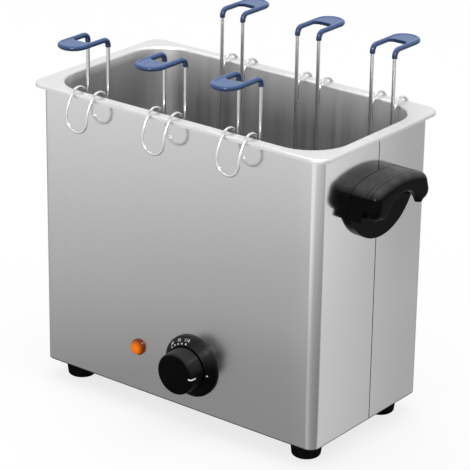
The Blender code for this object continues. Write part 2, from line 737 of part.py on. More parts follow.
def handle_back_mesh():
    """The back of a handle: walls round the finger room, and an apron below it."""
    apron_angle = math.asin(HANDLE_SIDE_HALF / HANDLE_APRON_RADIUS)
    apron_centre = HANDLE_APRON_RADIUS * math.cos(apron_angle) - HANDLE_SIDE_DROP
    below = 3 * QUARTER
    apron = arc((0, apron_centre), HANDLE_APRON_RADIUS, below - apron_angle, below + apron_angle, 12)
    corners = crown_corners(0, HANDLE_CROWN_HALF, 6, HANDLE_SHOULDER_RADIUS)
    corners += [(*point, 0) for point in apron]
    mesh = plate_mesh("handle_back", filleted(corners, SMALL_CORNER_STEPS), SEAT_GAP, HANDLE_BACK_DEPTH)

    def hollow(helper):
        over = HANDLE_BACK_DEPTH + CUT_OVERRUN
        reach = 2 * HANDLE_SIDE_HALF
        low = (-reach, -HANDLE_SIDE_DROP - reach, HANDLE_APRON_DEPTH)
        below_walls = boxes_mesh("below_walls", [(low, (reach, -HANDLE_SIDE_DROP, over))])
        boss_length = HANDLE_BACK_DEPTH - HANDLE_APRON_DEPTH / 2
        centres = boss_places(HANDLE_BACK_DEPTH - boss_length / 2)
        tools = [
            cutter(handle_pocket_mesh(HANDLE_APRON_DEPTH, over)),
            cutter(below_walls),
            cutter(rods_mesh("bosses", centres, HANDLE_BOSS_RADIUS, boss_length, "Z")),
            cutter(rods_mesh("holes", boss_places(0), SCREW_HOLE_RADIUS, 4 * HANDLE_BACK_DEPTH, "Z")),
        ]
        cut(helper, tools[0])
        cut(helper, tools[1])
        join(helper, tools[2])
        cut(helper, tools[3])
        return tools

    return baked("handle_back", mesh, hollow)


def handle_hood_mesh():
    """The hood of a handle: an arched bow with two lobes, hollow behind for the fingers."""
    arch_centre = HANDLE_ARCH_RISE - HANDLE_SIDE_DROP - HANDLE_ARCH_RADIUS
    spread = math.atan2(HANDLE_ARCH_HALF, HANDLE_ARCH_RADIUS - HANDLE_ARCH_RISE)
    arch = arc((0, arch_centre), HANDLE_ARCH_RADIUS, QUARTER + spread, QUARTER - spread, 8)
    corners = crown_corners(0, HANDLE_CROWN_HALF, 6, HANDLE_SHOULDER_RADIUS)
    corners += [(-HANDLE_SIDE_HALF, -HANDLE_SIDE_DROP, HANDLE_LOBE_RADIUS)]
    corners += [(*arch[0], HANDLE_ARCH_CORNER)]
    corners += [(*point, 0) for point in arch[1:-1]]
    corners += [(*arch[-1], HANDLE_ARCH_CORNER)]
    corners += [(HANDLE_SIDE_HALF, -HANDLE_SIDE_DROP, HANDLE_LOBE_RADIUS)]
    outline = filleted(corners, SMALL_CORNER_STEPS)
    arch_top = HANDLE_ARCH_RISE - HANDLE_SIDE_DROP + MERGE_DISTANCE
    edge_radii = []
    for x, y in outline:
        in_arch = abs(x) < HANDLE_ARCH_HALF + HANDLE_ARCH_CORNER and y < arch_top
        edge_radii.append(HANDLE_ARCH_EDGE if in_arch else HANDLE_EDGE_RADIUS)
    start = HANDLE_BACK_DEPTH + SEAT_GAP
    sections = [(outline, start)]
    for step in range(SMALL_CORNER_STEPS + 1):
        angle = QUARTER * step / SMALL_CORNER_STEPS
        insets = [radius * (1 - math.cos(angle)) for radius in edge_radii]
        height = HANDLE_DEPTH - HANDLE_EDGE_RADIUS * (1 - math.sin(angle))
        sections.append((inset_outline(outline, insets), height))
    mesh = lofted_mesh("handle_hood", sections)

    def hollow(helper):
        boss_length = HANDLE_HOOD_DEPTH - HANDLE_WALL / 2
        centres = boss_places(start + boss_length / 2)
        hole_length = 2 * (HANDLE_SCREW_BITE + SEAT_GAP)
        hole_radius = SCREW_RADIUS + SEAT_GAP
        tools = [
            cutter(handle_pocket_mesh(start - CUT_OVERRUN, HANDLE_DEPTH - HANDLE_WALL)),
            cutter(rods_mesh("bosses", centres, HANDLE_BOSS_RADIUS, boss_length, "Z")),
            cutter(rods_mesh("holes", boss_places(start), hole_radius, hole_length, "Z")),
        ]
        cut(helper, tools[0])
        join(helper, tools[1])
        cut(helper, tools[2])
        return tools

    return baked("handle_hood", mesh, hollow)


def make_handles():
    """A handle over the seam in each end wall, screwed on from inside the casing."""
    back = handle_back_mesh()
    hood = handle_hood_mesh()
    for name, side, rotation in (("right", 1, FACING_RIGHT), ("left", -1, FACING_LEFT)):
        place = (side * END_FACE, SEAM_OFFSET, HANDLE_TOP)
        part("handle_back_" + name, back, BAKELITE, place, rotation)
        part("handle_hood_" + name, hood, BAKELITE, place, rotation)
    screw = screw_mesh(SHEET + 2 * SEAT_GAP + HANDLE_BACK_DEPTH + HANDLE_SCREW_BITE)
    for name, side in (("right", 1), ("left", -1)):
        for end, (x, y, z) in zip(("front", "rear"), handle_screw_places(side)):
            place = (x - side * (SHEET + SEAT_GAP), y, z)
            part("handle_screw_" + name + "_" + end, screw, STEEL_SCREW, place, (0, -side * QUARTER, 0))


def make_dial():
    """The dial ring on the panel and the knob that turns in front of it."""
    place = (DIAL_X, FRONT_FACE - SEAT_GAP, DIAL_HEIGHT)
    bore = SPINDLE_RADIUS + FIT_GAP
    bezel_bore = bore + BUSH_WALL + 2 * FIT_GAP
    cone_radius = BEZEL_RADIUS - BEZEL_CONE_WIDTH
    profile = [
        (bezel_bore, BEZEL_RISE),
        (cone_radius, BEZEL_RISE),
        (BEZEL_RADIUS - BEZEL_EDGE / 3, BEZEL_EDGE),
        (BEZEL_RADIUS, BEZEL_EDGE * 2 / 3),
        (BEZEL_RADIUS, 0),
        (BEZEL_RADIUS - BEZEL_SKIN, 0),
        (cone_radius, BEZEL_RISE - BEZEL_SKIN),
        (bezel_bore, BEZEL_RISE - BEZEL_SKIN),
    ]
    bezel = turned_mesh("dial_bezel", profile, TURN_STEPS, ring=True)
    part("dial_bezel", bezel, BLACK_PLASTIC, place, FACING_FRONT)

    back = BEZEL_RISE + FIT_GAP
    front = back + KNOB_HEIGHT
    face_radius = KNOB_RADIUS - KNOB_TAPER
    hub_radius = bore + KNOB_HUB_WALL
    bore_end = front - 2 * KNOB_SKIN
    profile = [
        (0, front),
        (face_radius - KNOB_EDGE_RADIUS, front),
        (face_radius - KNOB_EDGE_RADIUS / 3, front - KNOB_EDGE_RADIUS / 3),
        (face_radius, front - KNOB_EDGE_RADIUS),
        (KNOB_RADIUS, back),
        (KNOB_RADIUS - KNOB_SKIN, back),
        (face_radius - KNOB_SKIN, front - KNOB_SKIN),
        (hub_radius, front - KNOB_SKIN),
        (hub_radius, back + KNOB_SKIN),
        (bore, back + KNOB_SKIN),
        (bore, bore_end),
        (0, bore_end),
    ]
    knob = turned_mesh("control_knob", profile, TURN_STEPS)
    knob = part("control_knob", knob, BLACK_PLASTIC, place, FACING_FRONT)
    low = (KNOB_RADIUS - KNOB_MARK_LENGTH, -KNOB_MARK_WIDTH / 2, front - KNOB_MARK_DEPTH)
    high = (KNOB_RADIUS + CUT_OVERRUN, KNOB_MARK_WIDTH / 2, front + CUT_OVERRUN)
    cut(knob, cutter(boxes_mesh("knob_mark", [(low, high)]), place, FACING_FRONT))

    tip = bore_end - SEAT_GAP
    tail = -SHEET - 2 * SEAT_GAP - SPINDLE_DEPTH
    mesh = rods_mesh("spindle", [(0, 0, (tip + tail) / 2)], SPINDLE_RADIUS, tip - tail, "Z")
    spindle = part("thermostat_spindle", mesh, STEEL_SCREW, place, FACING_FRONT)
    low = (SPINDLE_RADIUS - SPINDLE_FLAT, -KNOB_RADIUS, tip - SPINDLE_GRIP)
    high = (KNOB_RADIUS, KNOB_RADIUS, tip + CUT_OVERRUN)
    cut(spindle, cutter(boxes_mesh("spindle_flat", [(low, high)]), place, FACING_FRONT))


def make_thermostat():
    """The body of the capillary thermostat behind the dial, and its two screws."""
    place = (DIAL_X, FRONT_FACE + SHEET + SEAT_GAP, DIAL_HEIGHT)
    half = THERMOSTAT_WIDTH / 2
    low = (-half, -THERMOSTAT_HEIGHT / 2, -THERMOSTAT_DEPTH)
    high = (half, THERMOSTAT_HEIGHT / 2, 0)

    def shape_body(helper):
        bore = SPINDLE_RADIUS + FIT_GAP
        bush_length = THERMOSTAT_EDGE + SHEET + BUSH_REACH
        bush_centre = bush_length / 2 - THERMOSTAT_EDGE
        screws = [(shift, 0, 0) for shift in pair(THERMOSTAT_SCREW_SPREAD)]
        screw_bores = 2 * (THERMOSTAT_SCREW_LENGTH + FIT_GAP)
        tools = [
            cutter(rods_mesh("bush", [(0, 0, bush_centre)], bore + BUSH_WALL, bush_length, "Z")),
            cutter(rods_mesh("bore", [(0, 0, 0)], bore, 2 * (SPINDLE_DEPTH + FIT_GAP), "Z")),
            cutter(rods_mesh("screw_bores", screws, SCREW_HOLE_RADIUS, screw_bores, "Z")),
        ]
        round_edges(helper, THERMOSTAT_EDGE)
        join(helper, tools[0])
        cut(helper, tools[1])
        cut(helper, tools[2])
        return tools

    body = baked("thermostat_body", boxes_mesh("thermostat", [(low, high)]), shape_body)
    part("thermostat_body", body, WHITE_CERAMIC, place, FACING_FRONT)
    screw = screw_mesh(THERMOSTAT_SCREW_LENGTH)
    for name, shift in zip(("left", "right"), pair(THERMOSTAT_SCREW_SPREAD)):
        place = (DIAL_X + shift, FRONT_FACE - SEAT_GAP, DIAL_HEIGHT)
        part("thermostat_screw_" + name, screw, STEEL_SCREW, place, FACING_FRONT)


def make_bulb():
    """The thermostat's bulb, clipped under the tank, and the capillary that leads to it."""
    inner = BULB_RADIUS + SEAT_GAP
    outer = inner + BULB_CLIP_SHEET
    ear = outer + BULB_CLIP_EAR
    depth = HEATER_HALF_WIDTH + BULB_CLIP_GAP + ear
    height = TANK_UNDERSIDE - SEAT_GAP - BULB_RADIUS
    bulb = rods_mesh("thermostat_bulb", [(0, 0, 0)], BULB_RADIUS, BULB_LENGTH, "X")
    part("thermostat_bulb", bulb, STEEL_SCREW, (BULB_X, -depth, height))

    low = BULB_RADIUS - BULB_CLIP_SHEET
    outline = [(-ear, BULB_RADIUS), (-ear, low), (-outer, low)]
    outline += arc((0, 0), outer, math.pi, 2 * math.pi, CLIP_STEPS)
    outline += [(outer, low), (ear, low), (ear, BULB_RADIUS), (inner, BULB_RADIUS)]
    outline += arc((0, 0), inner, 2 * math.pi, math.pi, CLIP_STEPS)
    outline += [(-inner, BULB_RADIUS)]
    clip = plate_mesh("bulb_clip", outline, -BULB_CLIP_WIDTH / 2, BULB_CLIP_WIDTH / 2)
    part("bulb_clip", clip, STEEL_SCREW, (BULB_X, -depth, height), FACING_RIGHT)

    back = FRONT_FACE + SHEET + THERMOSTAT_DEPTH + 2 * SEAT_GAP
    start = Vector((DIAL_X, back, DIAL_HEIGHT))
    leave = start + Vector((0, THERMOSTAT_DEPTH, 0))
    end = Vector((BULB_X - BULB_LENGTH / 2 - SEAT_GAP, -depth, height))
    arrive = end - Vector((BULB_LENGTH / 4, 0, 0))
    points = []
    for step in range(ROUTE_STEPS + 1):
        share = step / ROUTE_STEPS
        rest = 1 - share
        near = start * rest ** 3 + leave * (3 * share * rest ** 2)
        far = arrive * (3 * share ** 2 * rest) + end * share ** 3
        points.append(near + far)
    part("thermostat_capillary", wire_curve("thermostat_capillary", points, CAPILLARY_RADIUS), COPPER)


def make_lamp():
    """The amber pilot lamp: its lens outside, its body and spring clip inside."""
    place = (LAMP_X, FRONT_FACE - SEAT_GAP, DIAL_HEIGHT)
    clip_front = -2 * SEAT_GAP - SHEET
    clip_back = clip_front - LAMP_CLIP_SHEET
    stem_end = clip_back - LAMP_STEM_TAIL
    profile = [
        (0, LENS_HEIGHT),
        (LENS_FACE_RADIUS, LENS_HEIGHT),
        (LAMP_STEM_RADIUS + LENS_RIM_WIDTH, LENS_RIM),
        (LAMP_STEM_RADIUS + LENS_RIM_WIDTH, 0),
        (LAMP_STEM_RADIUS, 0),
        (LAMP_STEM_RADIUS, stem_end),
        (0, stem_end),
    ]
    part("lamp_lens", turned_mesh("lamp_lens", profile), AMBER, place, FACING_FRONT)
    inner = LAMP_STEM_RADIUS + FIT_GAP
    outer = inner + LAMP_CLIP_WIDTH
    profile = [(inner, clip_front), (outer, clip_front), (outer, clip_back), (inner, clip_back)]
    part("lamp_clip", turned_mesh("lamp_clip", profile, ring=True), STEEL_SCREW, place, FACING_FRONT)
    body_front = stem_end - SEAT_GAP
    body_back = body_front - LAMP_BODY_LENGTH
    profile = [(0, body_front), (LAMP_BODY_RADIUS, body_front), (LAMP_BODY_RADIUS, body_back), (0, body_back)]
    part("lamp_body", turned_mesh("lamp_body", profile), BLACK_PLASTIC, place, FACING_FRONT)


def element_path():
    """Centre line of the heating tube: four rows joined by bends, its ends turned down."""
    bend = ELEMENT_PITCH / 2
    reach = HEATER_LENGTH / 2 - ELEMENT_END_GAP - ELEMENT_RADIUS - bend
    rows = [(index - 1.5) * ELEMENT_PITCH for index in range(4)]
    tail = (-reach - ELEMENT_BEND, ELEMENT_LEVEL - ELEMENT_BEND - ELEMENT_DROP)
    drop = arc((-reach, ELEMENT_LEVEL - ELEMENT_BEND), ELEMENT_BEND, math.pi, QUARTER, BEND_STEPS)
    points = [(x, rows[0], z) for x, z in [tail] + drop]
    for index, way in enumerate((1, -1, 1)):
        turn = arc((0, rows[index] + bend), bend, -QUARTER, QUARTER, ELEMENT_STEPS)
        points += [(way * (reach + x), y, ELEMENT_LEVEL) for x, y in turn]
    points += [(x, rows[3], z) for x, z in reversed([tail] + drop)]
    return points


def make_heating():
    """The heated plate under the tank, its tube element, and the bar and studs that hold both."""
    outline = rounded_rectangle(HEATER_LENGTH, 2 * HEATER_HALF_WIDTH, HEATER_CORNER_RADIUS, SMALL_CORNER_STEPS)
    plate = plate_mesh("heater_plate", outline, HEATER_UNDERSIDE, TANK_UNDERSIDE - SEAT_GAP)
    plate = part("heater_plate", plate, ALUMINIUM)
    stud_top = HEATER_UNDERSIDE + HEATER_PLATE / 2
    stud_low = CLAMP_UNDERSIDE - SEAT_GAP - NUT_HEIGHT - STUD_OVERHANG
    places = [(0, y, (stud_top + stud_low) / 2) for y in pair(ELEMENT_PITCH)]
    join(plate, cutter(rods_mesh("studs", places, STUD_RADIUS, stud_top - stud_low, "Z", SCREW_STEPS)))

    part("heating_element", wire_curve("heating_element", element_path(), ELEMENT_RADIUS), STEEL_SCREW)

    low = (-CLAMP_WIDTH / 2, -ELEMENT_HALF_WIDTH, CLAMP_UNDERSIDE)
    high = (CLAMP_WIDTH / 2, ELEMENT_HALF_WIDTH, CLAMP_TOP)
    clamp = part("heater_clamp", boxes_mesh("heater_clamp", [(low, high)]), STEEL_BASE)
    places = [(0, y, CLAMP_UNDERSIDE) for y in pair(ELEMENT_PITCH)]
    cut(clamp, cutter(rods_mesh("stud_holes", places, STUD_RADIUS + FIT_GAP, 4 * CUT_OVERRUN, "Z")))

    inner = (STUD_RADIUS + SEAT_GAP) / math.cos(math.pi / NUT_SIDES)
    outer = inner + NUT_WALL
    profile = [(inner, 0), (outer, 0), (outer, -NUT_HEIGHT), (inner, -NUT_HEIGHT)]
    nut = turned_mesh("clamp_nut", profile, NUT_SIDES, ring=True)
    for name, y in zip(("front", "rear"), pair(ELEMENT_PITCH)):
        part("clamp_nut_" + name, nut, STEEL_SCREW, (0, y, CLAMP_UNDERSIDE - SEAT_GAP))

    profile = [
        (0, 0),
        (CUTOUT_CAP_RADIUS, 0),
        (CUTOUT_CAP_RADIUS, -CUTOUT_CAP_HEIGHT),
        (CUTOUT_RADIUS, -CUTOUT_CAP_HEIGHT),
        (CUTOUT_RADIUS, -CUTOUT_HEIGHT),
        (0, -CUTOUT_HEIGHT),
    ]
    place = (HEATER_LENGTH / 2 + CUTOUT_GAP + CUTOUT_RADIUS, 0, TANK_UNDERSIDE - SEAT_GAP)
    part("overheat_cutout", turned_mesh("overheat_cutout", profile), BLACK_PLASTIC, place)


def make_mains():
    """The terminal block on the base plate, and the snap-in cord gland in the rear shell."""
    floor = BASE_TOP + SEAT_GAP
    top = floor + TERMINAL_HEIGHT
    middle = REAR_FACE - TERMINAL_SETBACK - TERMINAL_DEPTH / 2
    low = (MAINS_X - TERMINAL_LENGTH / 2, middle - TERMINAL_DEPTH / 2, floor)
    high = (MAINS_X + TERMINAL_LENGTH / 2, middle + TERMINAL_DEPTH / 2, top)
    block = part("terminal_block", boxes_mesh("terminal_block", [(low, high)]), WHITE_CERAMIC)
    round_edges(block, TERMINAL_EDGE)
    places = []
    for column in (-1, 0, 1):
        for row in (-1, 1):
            places.append((MAINS_X + column * TERMINAL_PITCH, middle + row * TERMINAL_DEPTH / 4, top))
    wells = rods_mesh("wells", places, TERMINAL_WELL_RADIUS, 2 * TERMINAL_WELL_DEPTH, "Z", SCREW_STEPS)
    cut(block, cutter(wells))

    neck_radius = GLAND_BORE_RADIUS + GLAND_NECK_WALL
    dome_radius = GLAND_BORE_RADIUS + GLAND_DOME_WALL
    reach = GLAND_FLANGE + GLAND_DOME
    bevel = GLAND_DOME_WALL / 2
    barb = -SHEET - 2 * SEAT_GAP
    profile = [
        (GLAND_BORE_RADIUS, reach),
        (dome_radius - bevel, reach),
        (dome_radius, reach - bevel),
        (dome_radius, GLAND_FLANGE),
        (GLAND_FLANGE_RADIUS, GLAND_FLANGE),
        (GLAND_FLANGE_RADIUS, 0),
        (neck_radius, 0),
        (neck_radius, barb),
        (neck_radius + GLAND_BARB, barb),
        (neck_radius - GLAND_BARB, barb - GLAND_TAIL),
        (GLAND_BORE_RADIUS, barb - GLAND_TAIL),
    ]
    gland = turned_mesh("cord_gland", profile, ring=True)
    part("cord_gland", gland, BLACK_PLASTIC, (MAINS_X, REAR_FACE + SEAT_GAP, GLAND_HEIGHT), FACING_REAR)


def hand_path(leg):
    """Centre line of a holder's rod: up one leg, round the hand loop and down the other."""
    bend_height = HAND_HEIGHT - HAND_BEND
    rise = [(ROD_PLACE, bend_height - leg)]
    rise += arc((ROD_PLACE + HAND_BEND, bend_height), HAND_BEND, math.pi, QUARTER, BEND_STEPS)
    loop_y = ROD_PLACE + HAND_LENGTH - GRIP_RADIUS - ROD_SPREAD
    points = [(ROD_SPREAD, y, z) for y, z in rise]
    points += [(x, y, HAND_HEIGHT) for x, y in arc((0, loop_y), ROD_SPREAD, 0, math.pi, HAND_STEPS)]
    points += [(-ROD_SPREAD, y, z) for y, z in reversed(rise)]
    return points


def frame_curve():
    """The two rods and the hand loop of a holder, one bent wire."""
    leg = HAND_HEIGHT - HAND_BEND + RING_DROP + RING_WIRE
    return wire_curve("holder_frame", hand_path(leg), ROD_RADIUS, 2)


def grip_mesh():
    """The dipped plastic hand pad: a sleeve round the loop and a web across its end."""
    loop_y = ROD_PLACE + HAND_LENGTH - GRIP_RADIUS - ROD_SPREAD
    web_start = ROD_PLACE + GRIP_WEB_START
    outline = [(ROD_SPREAD, web_start)] + arc((0, loop_y), ROD_SPREAD, 0, math.pi, HAND_STEPS)
    outline += [(-ROD_SPREAD, web_start), (-ROD_SPREAD / 2, web_start + GRIP_WEB_HOLLOW)]
    outline += [(ROD_SPREAD / 2, web_start + GRIP_WEB_HOLLOW)]
    web = plate_mesh("web", outline, HAND_HEIGHT - GRIP_WEB / 2, HAND_HEIGHT + GRIP_WEB / 2)
    bore = wire_curve("bore", hand_path(GRIP_LEG + CUT_OVERRUN), ROD_RADIUS + GRIP_BORE_GAP)

    def web_and_bore(helper):
        tools = [cutter(web), cutter(baked("bore", bore))]
        join(helper, tools[0])
        cut(helper, tools[1])
        return tools

    sleeve = baked("sleeve", wire_curve("sleeve", hand_path(GRIP_LEG), GRIP_RADIUS))
    return baked("holder_grip", sleeve, web_and_bore)


def hook_curve():
    """The hook wire: up from one rod, over the rim, bowed outwards to a loop, and back."""
    inner = ROD_PLACE + ROD_RADIUS + SEAT_GAP + HOOK_RADIUS
    outer = RIM_HALF_WIDTH + HOOK_CLEARANCE + HOOK_RADIUS
    radius = (outer - inner) / 2
    middle = (outer + inner) / 2
    reach = radius - HOOK_RADIUS - SEAT_GAP - RIM_EDGE_RADIUS
    offset = RIM_HALF_WIDTH - RIM_EDGE_RADIUS - middle
    height = -RIM_EDGE_RADIUS - math.sqrt(reach ** 2 - offset ** 2)
    seat = math.atan2(-RIM_EDGE_RADIUS - height, offset)
    side = [(inner, -HOOK_WELD_DROP)] + arc((middle, height), radius, math.pi, seat, HOOK_STEPS)
    leave = Vector(side[-1])
    far = outer + HOOK_BOW
    turn = Vector((far, leave.y - (far - leave.x) / math.tan(seat)))
    arrive = Vector((far, ROD_SPREAD - HOOK_LOOP_DROP))
    for step in range(1, BOW_STEPS):
        share = step / BOW_STEPS
        side.append(leave.lerp(turn, share).lerp(turn.lerp(arrive, share), share))
    loop = arc((0, arrive.y), ROD_SPREAD, 0, -math.pi, HAND_STEPS)
    points = [(ROD_SPREAD, y, z) for y, z in side]
    points += [(x, far, z) for x, z in loop]
    points += [(-ROD_SPREAD, y, z) for y, z in reversed(side)]
    return wire_curve("holder_hook", points, HOOK_RADIUS)


def cup_mesh():
    """The egg cup: a ring and two crossed wires under it, welded into one piece."""
    reach = RING_RADIUS + RING_WIRE + SEAT_GAP + ROD_RADIUS
    centre = ROD_PLACE - math.sqrt(reach ** 2 - ROD_SPREAD ** 2)
    circle = arc((0, centre), RING_RADIUS, 0, 2 * math.pi, RING_STEPS)[:-1]
    ring = wire_curve("ring", [(x, y, -RING_DROP) for x, y in circle], RING_WIRE, closed=True)
    profile = [(RING_RADIUS * out, -RING_DROP - CUP_DEPTH * down) for out, down in CUP_PROFILE_SHARES]
    profile += [(-out, z) for out, z in reversed(profile[:-1])]

    def add_cup_wires(helper):
        tools = []
        for turn, lift in ((QUARTER / 2, 0), (3 * QUARTER / 2, RING_WIRE)):
            points = []
            for out, z in profile:
                level = z + lift if z < -RING_DROP else z
                points.append((out * math.cos(turn), centre + out * math.sin(turn), level))
            tool = cutter(baked("cup_wire", wire_curve("cup_wire", points, RING_WIRE)))
            join(helper, tool)
            tools.append(tool)
        return tools

    return baked("egg_cup", baked("ring", ring), add_cup_wires)


def make_holders():
    """Six egg holders that hang on the rim, three from the front and three from the back."""
    frame = frame_curve()
    grip = grip_mesh()
    hook = hook_curve()
    cup = cup_mesh()
    places = [(share, math.pi) for share in FRONT_PLACE_SHARES]
    places += [(share, 0) for share in REAR_PLACE_SHARES]
    for number, (share, turn) in enumerate(places, 1):
        name = "holder_" + str(number)
        hanger = bpy.data.objects.new(name + "_hanger", None)
        hanger.location = (share * STRAIGHT_HALF, 0, RIM_TOP)
        hanger.rotation_euler = (0, 0, turn)
        PARTS.objects.link(hanger)
        part(name + "_frame", frame, STEEL_WIRE, parent=hanger)
        part(name + "_grip", grip, BLUE_PLASTIC, parent=hanger)
        part(name + "_hook", hook, STEEL_WIRE, parent=hanger)
        part(name + "_egg_cup", cup, STEEL_WIRE, parent=hanger)


PARTS, CUTTERS = clear_scene()

STEEL_TANK = finish("polished_steel_tank", (0.72, 0.73, 0.73), 0.28, 1)
STEEL_SHELL = finish("brushed_steel_casing", (0.56, 0.57, 0.57), 0.38, 1)
STEEL_BASE = finish("galvanised_sheet", (0.42, 0.43, 0.44), 0.5, 1)
STEEL_WIRE = finish("bright_steel_wire", (0.68, 0.68, 0.68), 0.2, 1)
STEEL_SCREW = finish("zinc_plated_steel", (0.5, 0.5, 0.49), 0.35, 1)
ALUMINIUM = finish("aluminium", (0.6, 0.61, 0.62), 0.45, 1)
COPPER = finish("copper", (0.65, 0.3, 0.17), 0.35, 1)
RUBBER = finish("black_rubber", (0.015, 0.015, 0.016), 0.6, 0)
BAKELITE = finish("black_bakelite", (0.016, 0.017, 0.018), 0.22, 0)
BLACK_PLASTIC = finish("black_plastic", (0.02, 0.021, 0.022), 0.35, 0)
WHITE_CERAMIC = finish("white_ceramic", (0.78, 0.76, 0.7), 0.4, 0)
AMBER = finish("amber_lens", (0.75, 0.2, 0.02), 0.15, 0)
BLUE_PLASTIC = finish("blue_dipped_plastic", (0.05, 0.11, 0.35), 0.35, 0)

make_tank()
make_casing()
make_feet()
make_handles()
make_dial()
make_thermostat()
make_bulb()
make_lamp()
make_heating()
make_mains()
make_holders()
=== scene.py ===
"""The looks of a six-place commercial egg boiler, laid over its CAD model.

X runs along the front panel, Y from the front to the back and Z up, in metres.
"""

import math

import bmesh
import bpy
from mathutils import Euler, Matrix, Vector


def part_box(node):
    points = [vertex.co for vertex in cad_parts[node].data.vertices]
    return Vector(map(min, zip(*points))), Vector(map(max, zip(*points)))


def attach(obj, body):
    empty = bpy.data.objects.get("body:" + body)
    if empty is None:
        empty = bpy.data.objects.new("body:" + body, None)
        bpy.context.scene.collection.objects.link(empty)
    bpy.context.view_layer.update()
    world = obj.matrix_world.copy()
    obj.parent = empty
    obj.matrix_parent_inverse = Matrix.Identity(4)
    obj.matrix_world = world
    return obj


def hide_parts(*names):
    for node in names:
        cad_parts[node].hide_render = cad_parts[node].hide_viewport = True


MM = 0.001
QUARTER = math.pi / 2

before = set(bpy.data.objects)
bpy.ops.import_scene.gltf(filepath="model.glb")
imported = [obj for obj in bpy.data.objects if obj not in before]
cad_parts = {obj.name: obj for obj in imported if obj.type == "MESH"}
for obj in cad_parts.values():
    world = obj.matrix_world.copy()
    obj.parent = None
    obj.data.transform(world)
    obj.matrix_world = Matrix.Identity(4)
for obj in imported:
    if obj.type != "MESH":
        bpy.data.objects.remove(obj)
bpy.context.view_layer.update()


def size_of(node):
    """The lowest corner, the highest corner and the middle of a CAD node."""
    low, high = (Vector(corner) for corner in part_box(node))
    return low, high, (low + high) / 2


# Places read from the CAD model
TANK_LOW, TANK_HIGH, _ = size_of("tank")
SHELL_LOW, SHELL_HIGH, _ = size_of("front_shell")
REAR_LOW, REAR_HIGH, _ = size_of("rear_shell")
BEZEL_LOW, BEZEL_HIGH, BEZEL_MIDDLE = size_of("dial_bezel")
KNOB_LOW, KNOB_HIGH, _ = size_of("control_knob")
LENS_LOW, LENS_HIGH, LENS_MIDDLE = size_of("lamp_lens")
GLAND_LOW, GLAND_HIGH, GLAND_MIDDLE = size_of("cord_gland")
_, HOOD_HIGH, _ = size_of("handle_hood_right")
_, BACK_HIGH, _ = size_of("handle_back_right")
_, FOOT_HIGH, _ = size_of("foot_front_right")

RIM_TOP = TANK_HIGH.z
RIM_LENGTH = TANK_HIGH.x - TANK_LOW.x
RIM_WIDTH = TANK_HIGH.y - TANK_LOW.y
END_FACE = SHELL_HIGH.x
REAR_FACE = REAR_HIGH.y
CASING_FOOT = SHELL_LOW.z
CASING_TOP = SHELL_HIGH.z
DIAL_PLACE = Vector((BEZEL_MIDDLE.x, BEZEL_HIGH.y, BEZEL_MIDDLE.z))
LENS_PLACE = Vector((LENS_MIDDLE.x, BEZEL_HIGH.y, LENS_MIDDLE.z))

# Gaps
SEAT_GAP = 0.3 * MM
FIT_GAP = 0.4 * MM
CUT_OVERRUN = 2.0 * MM
MERGE_DISTANCE = 0.005 * MM

# Tank
RIM_CORNER_RADIUS = 14.0 * MM
RIM_DROP = 3.5 * MM
RIM_EDGE_RADIUS = 1.75 * MM
RIM_FLANGE = 9.0 * MM
OPENING_EDGE_RADIUS = 2.3 * MM
OPENING_CORNER_RADIUS = 38.0 * MM
TANK_WALL = 0.8 * MM
TANK_TAPER = 4.0 * MM
TANK_FLOOR_RADIUS = 18.0 * MM
OPENING_INSET = RIM_FLANGE + OPENING_EDGE_RADIUS
TANK_DEPTH = RIM_TOP - TANK_LOW.z

# Casing
CASING_CORNER_RADIUS = 9.0 * MM
SHEET = 0.8 * MM
SEAM_STEP = 0.8 * MM
SEAM_TONGUE = 11.0 * MM
SIDE_FLANGE = 8.0 * MM
END_FLANGE = 35.4 * MM
FLANGE_RELIEF = 1.5 * MM
FLANGE_EDGE = 0.2 * MM
SEAM_Y = REAR_LOW.y - SEAT_GAP - SEAM_STEP / 2
HOLE_CUT_LENGTH = 8.0 * MM

# Painted shade in the tank and at the casing's seam and lower edge, and wear on the casing
TANK_PAINTED_SHADE_HEIGHTS = (RIM_TOP - 45.0 * MM, RIM_TOP - RIM_DROP)
RIM_PAINTED_SHADE_HEIGHTS = (RIM_TOP - 3 * RIM_DROP, RIM_TOP - RIM_DROP)
LEFT_PAINTED_SHADE_REACH = (TANK_LOW.x + OPENING_INSET, TANK_LOW.x + 45.0 * MM)
RIGHT_PAINTED_SHADE_REACH = (TANK_HIGH.x - 45.0 * MM, TANK_HIGH.x - OPENING_INSET)
WIPED_HEIGHTS = (125.0 * MM, 195.0 * MM)
WIPED_GLOSS = (0.262, 0.125)
# Painted shade darkens the seam's gap and a thin line along the casing's lower edge
SEAM_PAINTED_SHADE = (0.12, 1.0)
SEAM_PAINTED_SHADE_REACH = (SEAM_STEP / 2 - 0.05 * MM, SEAM_STEP / 2 + 0.05 * MM)
FOOT_PAINTED_SHADE = (0.12, 1.0)
FOOT_PAINTED_SHADE_HEIGHTS = (0.9 * MM, 1.5 * MM)

# Feet
FOOT_TOP_RADIUS = 15.0 * MM
FOOT_LOW_RADIUS = 13.2 * MM
FOOT_EDGE_RADIUS = 2.6 * MM
FOOT_RECESS_RADIUS = 5.2 * MM
FOOT_RECESS_DEPTH = 7.0 * MM
FOOT_NECK_RADIUS = 4.0 * MM
FOOT_LIP = 0.6 * MM

